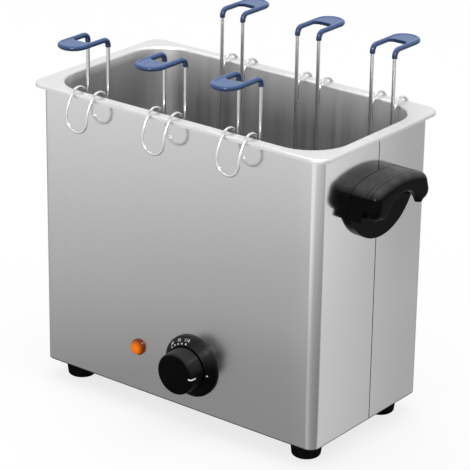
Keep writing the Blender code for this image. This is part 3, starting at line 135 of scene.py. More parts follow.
# Handles
HANDLE_TOP = BACK_HIGH.z
HANDLE_BACK_DEPTH = BACK_HIGH.x - END_FACE
HANDLE_DEPTH = HOOD_HIGH.x - END_FACE
HANDLE_CROWN_RADIUS = 112.0 * MM
HANDLE_CROWN_HALF = 38.0 * MM
HANDLE_SIDE_HALF = 46.0 * MM
HANDLE_SIDE_DROP = 31.5 * MM
HANDLE_SHOULDER_RADIUS = 10.0 * MM
HANDLE_APRON_RADIUS = 52.0 * MM
HANDLE_APRON_DEPTH = 5.0 * MM
HANDLE_WALL = 6.0 * MM
HANDLE_TOP_WALL = 7.0 * MM
HANDLE_EDGE_RADIUS = 8.0 * MM
HANDLE_ARCH_RADIUS = 27.0 * MM
HANDLE_ARCH_RISE = 17.0 * MM
HANDLE_ARCH_CORNER = 3.5 * MM
HANDLE_ARCH_EDGE = 2.5 * MM
HANDLE_LOBE_RADIUS = 10.0 * MM
HANDLE_SCREW_SPREAD = 31.0 * MM
HANDLE_SCREW_DROP = 14.5 * MM
HANDLE_BOSS_RADIUS = 5.5 * MM
HANDLE_GROOVE = 0.45 * MM
HANDLE_GROOVE_WIDTH = 0.9 * MM
END_ROOM = 1.25

# Dial, knob and lamp
BEZEL_RADIUS = (BEZEL_HIGH.x - BEZEL_LOW.x) / 2
BEZEL_RISE = BEZEL_HIGH.y - BEZEL_LOW.y
BEZEL_EDGE = 2.6 * MM
BEZEL_CONE_WIDTH = 7.5 * MM
BEZEL_CONE_RADIUS = BEZEL_RADIUS - BEZEL_CONE_WIDTH
BEZEL_RIM_RADIUS = BEZEL_RADIUS - BEZEL_EDGE / 3
BEZEL_BORE = 5.5 * MM
BEZEL_BREAK = 0.3 * MM
KNOB_RADIUS = 20.0 * MM
KNOB_TAPER = 0.6 * MM
KNOB_EDGE_RADIUS = 2.2 * MM
KNOB_HEIGHT = KNOB_HIGH.y - KNOB_LOW.y
KNOB_SKIN = 2.2 * MM
KNOB_MARK_WIDTH = 1.4 * MM
KNOB_MARK_START = 15.8 * MM
KNOB_MARK_DROP = 4.0 * MM
PRINT_RADIUS = 22.9 * MM
PRINT_DOT = 0.8 * MM
PRINT_THICKNESS = 0.04 * MM
PRINT_NUMBER_RADIUS = 25.6 * MM
PRINT_NUMBER_SIZE = 4.1 * MM
LENS_RADIUS = (LENS_HIGH.x - LENS_LOW.x) / 2
LENS_RIM = 1.8 * MM
LENS_FACE_RADIUS = 5.0 * MM
LENS_HEIGHT = 4.6 * MM
LENS_BREAK = 0.5 * MM
LENS_ROUNDING = 0.125 * MM
LENS_STEM_RADIUS = 4.7 * MM
# Middle of the lens face, and the radii over which painted shade darkens the lens towards its rim
LENS_LIGHT_AND_SHADE_PLACE = LENS_PLACE - Vector((0, LENS_HEIGHT, 0))
LENS_LIGHT_AND_SHADE_REACH = (0.7 * LENS_FACE_RADIUS, LENS_RADIUS)

# Cord gland
GLAND_FLANGE_RADIUS = (GLAND_HIGH.x - GLAND_LOW.x) / 2
GLAND_REACH = GLAND_HIGH.y - REAR_FACE - SEAT_GAP
GLAND_FLANGE = 4.0 * MM
GLAND_DOME_RADIUS = 8.6 * MM
GLAND_BORE_RADIUS = 4.2 * MM
GLAND_NECK_RADIUS = 8.0 * MM
GLAND_BARB = 1.2 * MM
GLAND_TAIL = 8.0 * MM

# Egg holders
ROD_RADIUS = 1.6 * MM
ROD_SPREAD = 11.75 * MM
ROD_PLACE = 68.0 * MM
HAND_HEIGHT = 50.5 * MM
HAND_BEND = 6.0 * MM
HAND_LENGTH = 46.0 * MM
GRIP_RADIUS = 2.5 * MM
GRIP_TOP = 2.1 * MM
GRIP_LEG = 1.5 * MM
GRIP_WEB = 3.6 * MM
GRIP_WEB_START = 20.0 * MM
GRIP_WEB_HOLLOW = 4.0 * MM
GRIP_GRAIN = 0.32 * MM
GRIP_SOFTENING = 0.5
GRIP_SOFTENINGS = 6
HOOK_RADIUS = 1.3 * MM
HOOK_WELD_DROP = 24.0 * MM
HOOK_LOOP_DROP = 31.0 * MM
HOOK_BOW = 6.0 * MM
HOOK_CLEARANCE = 1.6 * MM
RING_RADIUS = 21.5 * MM
RING_WIRE = 1.25 * MM
RING_DROP = 150.2 * MM
CUP_DEPTH = 30.0 * MM
WELD_RADIUS = 1.15 * MM
WELD_FLATNESS = 0.8
WELD_TILT = 0.5
WELD_SIZES = (0.85, 1.15)
CUP_PROFILE_SHARES = ((1.0, 0.0), (0.93, 0.45), (0.62, 0.86), (0.0, 1.0))

# Faces that meet at more than these degrees keep a sharp edge
SHARP_ANGLE = 35.0
HOOD_SHARP_ANGLE = 28.0
SOFT_SHARP_ANGLE = 60.0

# How finely round shapes are divided
CORNER_STEPS = 24
POCKET_CORNER_STEPS = 8
HANDLE_CORNER_STEPS = 12
HOOD_EDGE_STEPS = 12
APRON_STEPS = 48
ARCH_STEPS = 32
EDGE_STEPS = 6
CROWN_STEPS = 24
TURN_STEPS = 96
SMALL_TURN_STEPS = 64
ROD_TURN_STEPS = 32
HAND_STEPS = 36
BEND_STEPS = 12
BOW_STEPS = 12
RING_STEPS = 72
CUP_WIRE_STEPS = 10
WIRE_SIDES = 16
SLEEVE_SIDES = 24
BEAD_DIVISIONS = 3

# The dial's print: angles in degrees, anticlockwise from 3 o'clock
DOT_ANGLES = (138.0, 127.0, 116.0, 105.0, 93.5, -3.0)
NUMBER_ANGLES = (("30", 136.0), ("70", 115.0), ("110", 94.0))

# How bright the floor looks in the metal, with painted shade: darker near the boiler, darkest under
# it. Before the long sides the tone is the root of a value that grows with the slanted distance,
# beside the right end it falls from the front to the back, and round the corner between them it
# follows the direction.
FLOOR_FRONT_SQUARES = (0.088, 0.80)
FLOOR_FRONT_REACH = (0.074, 0.953)
FLOOR_FRONT_SLOPES = (0.607, 0.509)
FLOOR_SIDE_TONES = (0.79, 0.46)
FLOOR_SIDE_REACH = (-0.164, 0.06)
FLOOR_SIDE_SLOPE = 1.55
FLOOR_CORNER_SHARE = 0.79
FLOOR_CORNER_START = (-0.19, -0.17)
FLOOR_CORNER_END = (0.66, 0.74)
FLOOR_CORNER_TONES = ((0.40, 1.9), (0.48, 1.62), (0.57, 1.06), (0.80, 0.76))
FLOOR_MOST = 0.95
FLOOR_UNDER_SHADOW_TONES = (0.1, 1.0)
FLOOR_UNDER_SHADOW_REACH = (0.0, 0.014)

# Studio: sizes and places in metres, powers in watts
FLOOR_SIZE = 30
FLOOR_CLOUD = 1.5
FLOOR_GLOW = 0.78
SKY_STRENGTH = 0.92
LAMP_TARGET = (0, 0, 0.15)
TOP_LAMP_PLACE = (-0.3, 0.2, 2.2)
TOP_LAMP_SIZE = 1.6
TOP_LAMP_POWER = 11.0
FRONT_LAMP_PLACE = (1.15, -2.4, 1.75)
FRONT_LAMP_SIZE = 0.24
FRONT_LAMP_POWER = 60.0

# Camera
CAMERA_PLACE = (1.2132, -1.5678, 0.9571)
CAMERA_AZIMUTH = 37.63
CAMERA_ELEVATION = 22.0
CAMERA_ROLL = 0.87
CAMERA_LENS = 180.9

# How a shape made upright is turned
UPRIGHT = Matrix.Identity(4)
TO_FRONT = Euler((QUARTER, 0, 0)).to_matrix().to_4x4()
TO_REAR = Euler((-QUARTER, 0, 0)).to_matrix().to_4x4()
TO_RIGHT = Euler((QUARTER, 0, QUARTER)).to_matrix().to_4x4()
TO_LEFT = Euler((QUARTER, 0, -QUARTER)).to_matrix().to_4x4()


# Outlines

def arc(centre, radius, start, end, steps):
    """Points along an arc, angles in radians."""
    points = []
    for step in range(steps + 1):
        angle = start + (end - start) * step / steps
        x = centre[0] + radius * math.cos(angle)
        y = centre[1] + radius * math.sin(angle)
        points.append((x, y))
    return points


def filleted(corners, steps):
    """Outline through corners of (x, y, radius), an arc in place of each with a radius."""
    outline = []
    for index, (x, y, radius) in enumerate(corners):
        corner = Vector((x, y))
        if radius == 0:
            outline.append((x, y))
            continue
        back = (Vector(corners[index - 1][:2]) - corner).normalized()
        ahead = (Vector(corners[(index + 1) % len(corners)][:2]) - corner).normalized()
        half = back.angle(ahead) / 2
        centre = corner + (back + ahead).normalized() * (radius / math.sin(half))
        reach = radius / math.tan(half)
        start = corner + back * reach - centre
        end = corner + ahead * reach - centre
        sweep = math.atan2(start.cross(end), start.dot(end))
        first = math.atan2(start.y, start.x)
        outline.extend(arc(centre, radius, first, first + sweep, steps))
    return outline


def rounded_rectangle(length, width, radius, steps=CORNER_STEPS):
    """Outline of a rectangle with round corners, counterclockwise."""
    x = length / 2
    y = width / 2
    return filleted([(x, y, radius), (-x, y, radius), (-x, -y, radius), (x, -y, radius)], steps)


def inset_outline(outline, distances):
    """A counterclockwise outline with each of its points moved inwards by its own distance."""
    moved = []
    for index, point in enumerate(outline):
        here = Vector(point)
        back = (here - Vector(outline[index - 1])).normalized().orthogonal()
        ahead = (Vector(outline[(index + 1) % len(outline)]) - here).normalized().orthogonal()
        shift = (back + ahead) / (1 + back.dot(ahead))
        moved.append(here + shift * distances[index])
    return moved


def eased_path(points, steps):
    """A smooth curve that passes through all the points."""
    vectors = [Vector(point) for point in points]
    before = vectors[0] * 2 - vectors[1]
    after = vectors[-1] * 2 - vectors[-2]
    ends = [before] + vectors + [after]
    path = []
    for a, b, c, d in zip(ends, ends[1:], ends[2:], ends[3:]):
        for step in range(steps):
            t = step / steps
            line = b * 2 + (c - a) * t
            bend = (a * 2 - b * 5 + c * 4 - d) * t ** 2
            turn = (b * 3 - a - c * 3 + d) * t ** 3
            path.append((line + bend + turn) / 2)
    path.append(vectors[-1])
    return path


# Meshes

def mesh_from(name, shape):
    """A mesh of a bmesh, its doubles merged and its faces turned outwards."""
    bmesh.ops.remove_doubles(shape, verts=shape.verts, dist=MERGE_DISTANCE)
    bmesh.ops.recalc_face_normals(shape, faces=shape.faces)
    mesh = bpy.data.meshes.new(name)
    shape.to_mesh(mesh)
    shape.free()
    return mesh


def skin(name, rings, close_first=True, close_last=True):
    """A skin through rings of points that are all divided alike."""
    shape = bmesh.new()
    loops = [[shape.verts.new(point) for point in ring] for ring in rings]
    for first, second in zip(loops, loops[1:]):
        for index in range(len(first)):
            after = (index + 1) % len(first)
            shape.faces.new((first[index], first[after], second[after], second[index]))
    if close_last:
        shape.faces.new(loops[-1])
    if close_first:
        shape.faces.new(reversed(loops[0]))
    return mesh_from(name, shape)


def turned(name, profile, steps=SMALL_TURN_STEPS, ring=False):
    """A profile of (radius, height) points turned about Z, and closed where it makes a ring."""
    rings = []
    for radius, height in profile + profile[:1] if ring else profile:
        circle = arc((0, 0), radius, 0, 2 * math.pi, steps)[:-1]
        rings.append([(x, y, height) for x, y in circle])
    return skin(name, rings, close_first=False, close_last=False)


def plate(name, outline, low, high):
    """A flat outline in X and Y, filled from the height low to the height high."""
    return skin(name, [[(x, y, z) for x, y in outline] for z in (low, high)])


def box(low, high, edge):
    """A box between two corners, its edges broken."""
    shape = bmesh.new()
    low, high = Vector(low), Vector(high)
    place = Matrix.Translation((low + high) / 2) @ Matrix.Diagonal((*(high - low), 1))
    bmesh.ops.create_cube(shape, size=1, matrix=place)
    bmesh.ops.bevel(
        shape, geom=shape.edges[:], offset=edge, segments=2, affect="EDGES", profile=0.5
    )
    return mesh_from("box", shape)


def rod(name, place, radius, length, turn=UPRIGHT):
    """A round rod centred on a place, upright or turned."""
    half = length / 2
    mesh = turned(name, [(0, half), (radius, half), (radius, -half), (0, -half)], ROD_TURN_STEPS)
    mesh.transform(Matrix.Translation(place) @ turn)
    return mesh


def joined(name, meshes):
    """Several meshes as one."""
    shape = bmesh.new()
    for mesh in meshes:
        shape.from_mesh(mesh)
    return mesh_from(name, shape)


def worked(name, mesh, add_steps):
    """The mesh after the modifiers that add_steps gives it, as plain geometry."""
    helper = bpy.data.objects.new(name + "_helper", mesh)
    bpy.context.scene.collection.objects.link(helper)
    tools = add_steps(helper) or []
    bpy.context.view_layer.update()
    graph = bpy.context.evaluated_depsgraph_get()
    result = bpy.data.meshes.new_from_object(helper.evaluated_get(graph))
    for used in (helper, *tools):
        bpy.data.objects.remove(used, do_unlink=True)
    shape = bmesh.new()
    shape.from_mesh(result)
    bpy.data.meshes.remove(result)
    return mesh_from(name, shape)


def tool(mesh):
    """An object that only cuts or joins."""
    helper = bpy.data.objects.new("tool", mesh)
    bpy.context.scene.collection.objects.link(helper)
    return helper


def combine(helper, other, operation):
    """Cut the other shape from the helper, or join it on."""
    step = helper.modifiers.new(operation.lower(), "BOOLEAN")
    step.operation = operation
    step.solver = "EXACT"
    step.object = other


# Geometry node groups

def node_group(name, settings):
    """A new geometry node group, and the identifier of each of its named settings."""
    group = bpy.data.node_groups.new(name, "GeometryNodeTree")
    group.interface.new_socket("Geometry", in_out="INPUT", socket_type="NodeSocketGeometry")
    group.interface.new_socket("Geometry", in_out="OUTPUT", socket_type="NodeSocketGeometry")
    identifiers = {}
    for label, kind in settings.items():
        socket = group.interface.new_socket(label, in_out="INPUT", socket_type="NodeSocket" + kind)
        identifiers[label] = socket.identifier
    return group, identifiers


def end_group(group, start, shape):
    """End a node group: make its shape real and give it the material that came in."""
    nodes, link = group.nodes, group.links.new
    realise = nodes.new("GeometryNodeRealizeInstances")
    finish = nodes.new("GeometryNodeSetMaterial")
    end = nodes.new("NodeGroupOutput")
    link(shape, realise.inputs["Geometry"])
    link(realise.outputs["Geometry"], finish.inputs["Geometry"])
    link(start.outputs["Material"], finish.inputs["Material"])
    link(finish.outputs["Geometry"], end.inputs["Geometry"])


def bent_wire_group():
    """A round wire along a path of edges."""
    settings = {"Wire radius": "Float", "Sides": "Int", "Material": "Material"}
    group, identifiers = node_group("bent_wire", settings)
    nodes, link = group.nodes, group.links.new
    start = nodes.new("NodeGroupInput")
    path = nodes.new("GeometryNodeMeshToCurve")
    circle = nodes.new("GeometryNodeCurvePrimitiveCircle")
    sweep = nodes.new("GeometryNodeCurveToMesh")
    sweep.inputs["Fill Caps"].default_value = True
    link(start.outputs["Geometry"], path.inputs["Mesh"])
    link(start.outputs["Wire radius"], circle.inputs["Radius"])
    link(start.outputs["Sides"], circle.inputs["Resolution"])
    link(path.outputs["Curve"], sweep.inputs["Curve"])
    link(circle.outputs["Curve"], sweep.inputs["Profile Curve"])
    end_group(group, start, sweep.outputs["Mesh"])
    return group, identifiers


def bead_group():
    """A small rounded bead on each point, each turned and sized a little differently."""
    settings = {"Bead radius": "Float", "Flatness": "Float", "Seed": "Int", "Material": "Material"}
    group, identifiers = node_group("beads", settings)
    nodes, link = group.nodes, group.links.new
    start = nodes.new("NodeGroupInput")
    points = nodes.new("GeometryNodeMeshToPoints")
    bead = nodes.new("GeometryNodeMeshIcoSphere")
    bead.inputs["Subdivisions"].default_value = BEAD_DIVISIONS
    squash = nodes.new("GeometryNodeTransform")
    scale = nodes.new("ShaderNodeCombineXYZ")
    scale.inputs["X"].default_value = 1
    scale.inputs["Y"].default_value = 1
    turn = nodes.new("FunctionNodeRandomValue")
    turn.data_type = "FLOAT_VECTOR"
    turn.inputs[0].default_value = (-WELD_TILT, -WELD_TILT, 0)
    turn.inputs[1].default_value = (WELD_TILT, WELD_TILT, 2 * math.pi)
    size = nodes.new("FunctionNodeRandomValue")
    size.inputs[2].default_value, size.inputs[3].default_value = WELD_SIZES
    place = nodes.new("GeometryNodeInstanceOnPoints")
    link(start.outputs["Geometry"], points.inputs["Mesh"])
    link(start.outputs["Bead radius"], bead.inputs["Radius"])
    link(start.outputs["Flatness"], scale.inputs["Z"])
    link(bead.outputs["Mesh"], squash.inputs["Geometry"])
    link(scale.outputs["Vector"], squash.inputs["Scale"])
    link(start.outputs["Seed"], turn.inputs["Seed"])
    link(start.outputs["Seed"], size.inputs["Seed"])
    link(points.outputs["Points"], place.inputs["Points"])
    link(squash.outputs["Geometry"], place.inputs["Instance"])
    link(turn.outputs["Value"], place.inputs["Rotation"])
    link(size.outputs[1], place.inputs["Scale"])
    end_group(group, start, place.outputs["Instances"])
    return group, identifiers


def grown(name, mesh, group, identifiers, values):
    """The mesh that a node group makes of another one."""
    def add_nodes(helper):
        step = helper.modifiers.new("nodes", "NODES")
        step.node_group = group
        for label, value in values.items():
            step[identifiers[label]] = value

    return worked(name, mesh, add_nodes)


def wire(name, points, radius, material, closed=False, sides=WIRE_SIDES):
    """A round wire along a path of points."""
    path = bpy.data.meshes.new(name + "_path")
    edges = [(index, index + 1) for index in range(len(points) - 1)]
    if closed:
        edges.append((len(points) - 1, 0))
    path.from_pydata([tuple(point) for point in points], edges, [])
    values = {"Wire radius": radius, "Sides": sides, "Material": material}
    return grown(name, path, *BENT_WIRE, values)


def beads(name, points, radius, flatness, seed, material):
    """Rounded beads on points."""
    mesh = bpy.data.meshes.new(name + "_points")
    mesh.from_pydata([tuple(point) for point in points], [], [])
    values = {"Bead radius": radius, "Flatness": flatness, "Seed": seed, "Material": material}
    return grown(name, mesh, *BEADS, values)


# Materials

class Finish:
    """A material with helpers for the few nodes that every finish here uses."""

    def __init__(self, name, colour, roughness, metallic=0.0):
        self.material = bpy.data.materials.new(name)
        self.material.use_nodes = True
        self.nodes = self.material.node_tree.nodes
        self.link = self.material.node_tree.links.new
        self.shader = self.nodes["Principled BSDF"]
        self.shader.inputs["Metallic"].default_value = metallic
        self.shader.inputs["Base Color"].default_value = (*colour, 1)
        self.shader.inputs["Roughness"].default_value = roughness
        self.colour = colour
        self.place = self.nodes.new("ShaderNodeTexCoord").outputs["Object"]
        self.bump_from = None

    def set(self, **values):
        """Set plain values of the shader, with _ for each space in a name."""
        for label, value in values.items():
            self.shader.inputs[label.replace("_", " ")].default_value = value
        return self

    def noise(self, size, detail=3.0, stretch=(1, 1, 1), rough=0.5):
        """Noise whose grains are about size metres wide, drawn out along an axis by stretch."""
        mapping = self.nodes.new("ShaderNodeMapping")
        mapping.inputs["Scale"].default_value = [1 / (size * share) for share in stretch]
        texture = self.nodes.new("ShaderNodeTexNoise")
        texture.inputs["Scale"].default_value = 1.0
        texture.inputs["Detail"].default_value = detail
        texture.inputs["Roughness"].default_value = rough
        self.link(self.place, mapping.inputs["Vector"])
        self.link(mapping.outputs["Vector"], texture.inputs["Vector"])
        return texture.outputs["Fac"]

    def crystals(self, size):
        """Cells about size metres wide, each with a value of its own."""
        texture = self.nodes.new("ShaderNodeTexVoronoi")
        texture.inputs["Scale"].default_value = 1 / size
        self.link(self.place, texture.inputs["Vector"])
        split = self.nodes.new("ShaderNodeSeparateColor")
        self.link(texture.outputs["Color"], split.inputs["Color"])
        return split.outputs["Red"]

    def spread(self, value, low, high, start=0.3, end=0.7):
        """The value brought from start..end to low..high."""
        step = self.nodes.new("ShaderNodeMapRange")
        step.inputs["From Min"].default_value = start
        step.inputs["From Max"].default_value = end
        step.inputs["To Min"].default_value = low
        step.inputs["To Max"].default_value = high
        self.link(value, step.inputs["Value"])
        return step.outputs["Result"]

    def shade(self, value, low, high, tint=(1, 1, 1), start=0.3, end=0.7):
        """Vary the colour's brightness between two shares of it."""
        mix = self.nodes.new("ShaderNodeMix")
        mix.data_type = "RGBA"
        mix.inputs["A"].default_value = (*(low * c for c in self.colour), 1)
        mix.inputs["B"].default_value = (*(high * c * t for c, t in zip(self.colour, tint)), 1)
        self.link(self.spread(value, 0, 1, start, end), mix.inputs["Factor"])
        self.link(mix.outputs["Result"], self.shader.inputs["Base Color"])
        return self

    def gloss(self, value, low, high, start=0.3, end=0.7):
        """Vary the roughness between two values."""
        self.link(self.spread(value, low, high, start, end), self.shader.inputs["Roughness"])
        return self

    def feed(self, socket, value):
        """Give a socket a number, or the output of a node."""
        if isinstance(value, bpy.types.NodeSocket):
            self.link(value, socket)
        else:
            socket.default_value = value

    def maths(self, operation, *values):
        """The result of an operation on numbers or the outputs of nodes."""
        step = self.nodes.new("ShaderNodeMath")
        step.operation = operation
        for socket, value in zip(step.inputs, values):
            self.feed(socket, value)
        return step.outputs["Value"]

    def parts_of(self, vector):
        """The X, Y and Z of a vector."""
        split = self.nodes.new("ShaderNodeSeparateXYZ")
        self.link(vector, split.inputs["Vector"])
        return split.outputs

    def facing_up(self, start, end):
        """0 where the surface's normal has a Z of start or less, 1 where it has end or more."""
        normal = self.nodes.new("ShaderNodeNewGeometry").outputs["Normal"]
        return self.spread(self.parts_of(normal)["Z"], 0, 1, start, end)

    def relief(self, value, depth, strength=1.0):
        """Add a relief of some depth in metres to the surface."""
        step = self.nodes.new("ShaderNodeBump")
        step.inputs["Distance"].default_value = depth
        step.inputs["Strength"].default_value = strength
        self.link(value, step.inputs["Height"])
        if self.bump_from:
            self.link(self.bump_from, step.inputs["Normal"])
        self.bump_from = step.outputs["Normal"]
        self.link(self.bump_from, self.shader.inputs["Normal"])
        return self


def brushed_casing():
    """Bright sheet steel with fine upright brush lines, duller low down, painted shade at seam and
    foot.
    """
    steel = Finish("brushed_steel_casing", (0.80, 0.805, 0.80), roughness=0.2, metallic=1.0)
    lines = steel.noise(0.5 * MM, stretch=(1, 1, 200))
    streaks = steel.noise(6.0 * MM, stretch=(1, 1, 80))
    marks = steel.noise(38.0 * MM, detail=4.0)
    place = steel.parts_of(steel.place)
    from_seam = steel.maths("ABSOLUTE", steel.maths("SUBTRACT", place["Y"], SEAM_Y))
    # Painted shade in the seam's gap, where the tongue shows
    seam = steel.spread(from_seam, *SEAM_PAINTED_SHADE, *SEAM_PAINTED_SHADE_REACH)
    above_foot = steel.maths("SUBTRACT", place["Z"], CASING_FOOT)
    # Painted shade along the lower edge, just above the casing's foot
    foot = steel.spread(above_foot, *FOOT_PAINTED_SHADE, *FOOT_PAINTED_SHADE_HEIGHTS)
    painted_shade = steel.maths("MULTIPLY", seam, foot)
    streaked = steel.maths("MULTIPLY", painted_shade, steel.spread(streaks, 0.988, 1.0))
    steel.shade(streaked, 0.0, 1.006, start=0.0, end=1.0)
    wiped = steel.spread(place["Z"], 0, 1, *WIPED_HEIGHTS)
    uneven = steel.maths("ADD", wiped, steel.spread(marks, -0.04, 0.04))
    steel.gloss(uneven, *WIPED_GLOSS, start=0.0, end=1.0)
    return steel.relief(lines, depth=0.0008 * MM, strength=0.12).material


def polished_tank():
    """Deep-drawn satin steel with upright draw marks, and painted shade that darkens it below the
    rim.
    """
    steel = Finish("polished_steel_tank", (0.80, 0.805, 0.80), roughness=0.4, metallic=1.0)
    lines = steel.noise(0.6 * MM, stretch=(1, 1, 150))
    draws = steel.noise(9.0 * MM, detail=4.0, stretch=(1, 1, 40))
    place = steel.parts_of(steel.place)
    # Painted shade: darker deeper in the tank and near the left end, less near the right end,
    # broken by the draw marks
    below = steel.spread(place["Z"], 1, 0, *TANK_PAINTED_SHADE_HEIGHTS)
    deep_painted_shade = steel.maths("MULTIPLY", below, steel.spread(draws, 1.0, 0.7))
    right = steel.spread(place["X"], 1, 0.35, *RIGHT_PAINTED_SHADE_REACH)
    below_rim = steel.spread(place["Z"], 1, 0, *RIM_PAINTED_SHADE_HEIGHTS)
    left = steel.spread(place["X"], 0.9, 0, *LEFT_PAINTED_SHADE_REACH)
    faded = steel.maths("MULTIPLY", deep_painted_shade, right)
    tank_painted_shade = steel.maths("ADD", faded, steel.maths("MULTIPLY", below_rim, left))
    steel.shade(tank_painted_shade, 1.0, 0.58, start=0.0, end=1.0)
    steel.gloss(draws, 0.36, 0.45)
    return steel.relief(lines, depth=0.0015 * MM, strength=0.2).material


def bright_wire():
    """Electropolished wire of the hooks and cups."""
    steel = Finish("bright_steel_wire", (0.80, 0.80, 0.795), roughness=0.2, metallic=1.0)
    stains = steel.noise(7.0 * MM, detail=4.0)
    steel.shade(stains, 0.96, 1.01)
    steel.gloss(stains, 0.17, 0.25)
    return steel.relief(steel.noise(0.6 * MM), depth=0.002 * MM, strength=0.2).material


def drawn_rod():
    """Drawn steel of the long rods, greyer than the hooks and smooth along its length."""
    steel = Finish("drawn_steel_rod", (0.68, 0.685, 0.68), roughness=0.24, metallic=1.0)
    stains = steel.noise(5.0 * MM, stretch=(1, 1, 8))
    lines = steel.noise(0.5 * MM, stretch=(1, 1, 60))
    steel.shade(stains, 0.93, 1.04)
    steel.gloss(stains, 0.2, 0.3)
    return steel.relief(lines, depth=0.001 * MM, strength=0.2).material


def weld_metal():
    """Small weld beads, a little darkened by heat."""
    steel = Finish("weld_bead", (0.58, 0.56, 0.53), roughness=0.3, metallic=1.0)
    ripples = steel.noise(0.5 * MM)
    steel.shade(ripples, 0.75, 1.1, tint=(1.0, 0.96, 0.9))
    steel.gloss(ripples, 0.2, 0.42)
    return steel.relief(ripples, depth=0.12 * MM, strength=0.6).material


def zinc_plate():
    """Zinc-plated small steel parts."""
    steel = Finish("zinc_plated_steel", (0.52, 0.53, 0.54), roughness=0.34, metallic=1.0)
    bloom = steel.noise(2.4 * MM, detail=4.0)
    steel.shade(bloom, 0.85, 1.1, tint=(1.0, 1.01, 1.05))
    steel.gloss(bloom, 0.27, 0.45)
    return steel.relief(steel.noise(0.3 * MM), depth=0.01 * MM, strength=0.4).material


def galvanised():
    """Galvanised sheet with its crystal pattern."""
    steel = Finish("galvanised_sheet", (0.44, 0.45, 0.46), roughness=0.45, metallic=1.0)
    crystals = steel.crystals(9.0 * MM)
    steel.shade(crystals, 0.82, 1.12, start=0.0, end=1.0)
    steel.gloss(crystals, 0.36, 0.58, start=0.0, end=1.0)
    return steel.relief(steel.noise(0.6 * MM), depth=0.012 * MM, strength=0.4).material


def aluminium_plate():
    """Rolled aluminium plate."""
    metal = Finish("aluminium_plate", (0.62, 0.63, 0.64), roughness=0.42, metallic=1.0)
    rolls = metal.noise(0.5 * MM, stretch=(90, 1, 1))
    metal.shade(rolls, 0.93, 1.05)
    metal.gloss(metal.noise(12.0 * MM), 0.36, 0.5)
    return metal.relief(rolls, depth=0.01 * MM, strength=0.4).material


def copper_tube():
    """Thin copper tube, browned in patches."""
    metal = Finish("copper_tube", (0.70, 0.34, 0.20), roughness=0.32, metallic=1.0)
    patches = metal.noise(6.0 * MM, detail=5.0)
    metal.shade(patches, 0.6, 1.05, tint=(1.0, 0.97, 0.92))
    metal.gloss(patches, 0.45, 0.26)
    return metal.relief(metal.noise(0.4 * MM), depth=0.008 * MM, strength=0.3).material


def black_rubber():
    """Moulded rubber, dull and faintly dusty."""
    rubber = Finish("black_rubber", (0.004, 0.004, 0.0042), roughness=0.6)
    dust_and_painted_sheen = rubber.noise(5.0 * MM, detail=5.0)
    rubber.shade(dust_and_painted_sheen, 0.8, 1.8)
    rubber.gloss(dust_and_painted_sheen, 0.52, 0.7)
    rubber.set(Specular_IOR_Level=0.03)
    return rubber.relief(rubber.noise(0.35 * MM), depth=0.02 * MM, strength=0.4).material


def black_bakelite():
    """Glossy black moulding material with slight swirls from the mould, and a painted sheen on top.
    """
    moulding = Finish("black_bakelite", (0.002, 0.002, 0.0021), roughness=0.2)
    swirls = moulding.noise(9.0 * MM, detail=4.0)
    patchy = moulding.spread(swirls, 0.8, 1.2)
    # Painted sheen: upward-facing surfaces lighter, in patches
    dust_and_painted_sheen = moulding.maths("MULTIPLY", moulding.facing_up(0.35, 1.0), patchy)
    moulding.shade(dust_and_painted_sheen, 1.0, 42.0, tint=(1, 1, 0.95), start=0.0, end=1.0)
    moulding.gloss(swirls, 0.16, 0.24)
    moulding.set(Specular_IOR_Level=0.04)
    return moulding.relief(moulding.noise(1.1 * MM), depth=0.008 * MM, strength=0.2).material


def black_plastic():
    """Satin black plastic with a fine eroded grain, and a painted sheen on top."""
    plastic = Finish("black_plastic", (0.002, 0.002, 0.0021), roughness=0.3)
    wear = plastic.noise(7.0 * MM, detail=4.0)
    patchy = plastic.spread(wear, 0.8, 1.2)
    # Painted sheen: upward-facing surfaces lighter, in patches
    dust_and_painted_sheen = plastic.maths("MULTIPLY", plastic.facing_up(0.1, 1.0), patchy)
    plastic.shade(dust_and_painted_sheen, 1.0, 17.0, start=0.0, end=1.0)
    plastic.gloss(wear, 0.26, 0.36)
    plastic.set(Specular_IOR_Level=0.04)
    return plastic.relief(plastic.noise(0.4 * MM), depth=0.008 * MM, strength=0.25).material


def white_ceramic():
    """Pressed off-white ceramic."""
    ceramic = Finish("white_ceramic", (0.72, 0.70, 0.66), roughness=0.4)
    specks = ceramic.noise(1.2 * MM, detail=5.0)
    ceramic.shade(specks, 0.88, 1.03)
    ceramic.gloss(specks, 0.32, 0.5)
    return ceramic.relief(specks, depth=0.02 * MM, strength=0.4).material


def amber_lens():
    """Tinted clear plastic that glows faintly, with painted light in the middle and painted shade
    towards the rim.
    """
    lens = Finish("amber_lens", (0.56, 0.12, 0.001), roughness=0.12)
    # Painted light and shade: brighter in the middle, darker towards the rim
    apart = lens.nodes.new("ShaderNodeVectorMath")
    apart.operation = "DISTANCE"
    apart.inputs[1].default_value = LENS_LIGHT_AND_SHADE_PLACE
    lens.link(lens.place, apart.inputs[0])
    start, end = LENS_LIGHT_AND_SHADE_REACH
    lens.shade(apart.outputs["Value"], 1.6, 0.22, tint=(1.0, 0.4, 1.0), start=start, end=end)
    lens.gloss(lens.noise(3.2 * MM, detail=2.0), 0.08, 0.16)
    lens.set(Specular_IOR_Level=0.18)
    lens.set(Emission_Color=(0.85, 0.17, 0.001, 1), Emission_Strength=0.06)
    return lens.relief(lens.noise(1.8 * MM), depth=0.03 * MM, strength=0.3).material


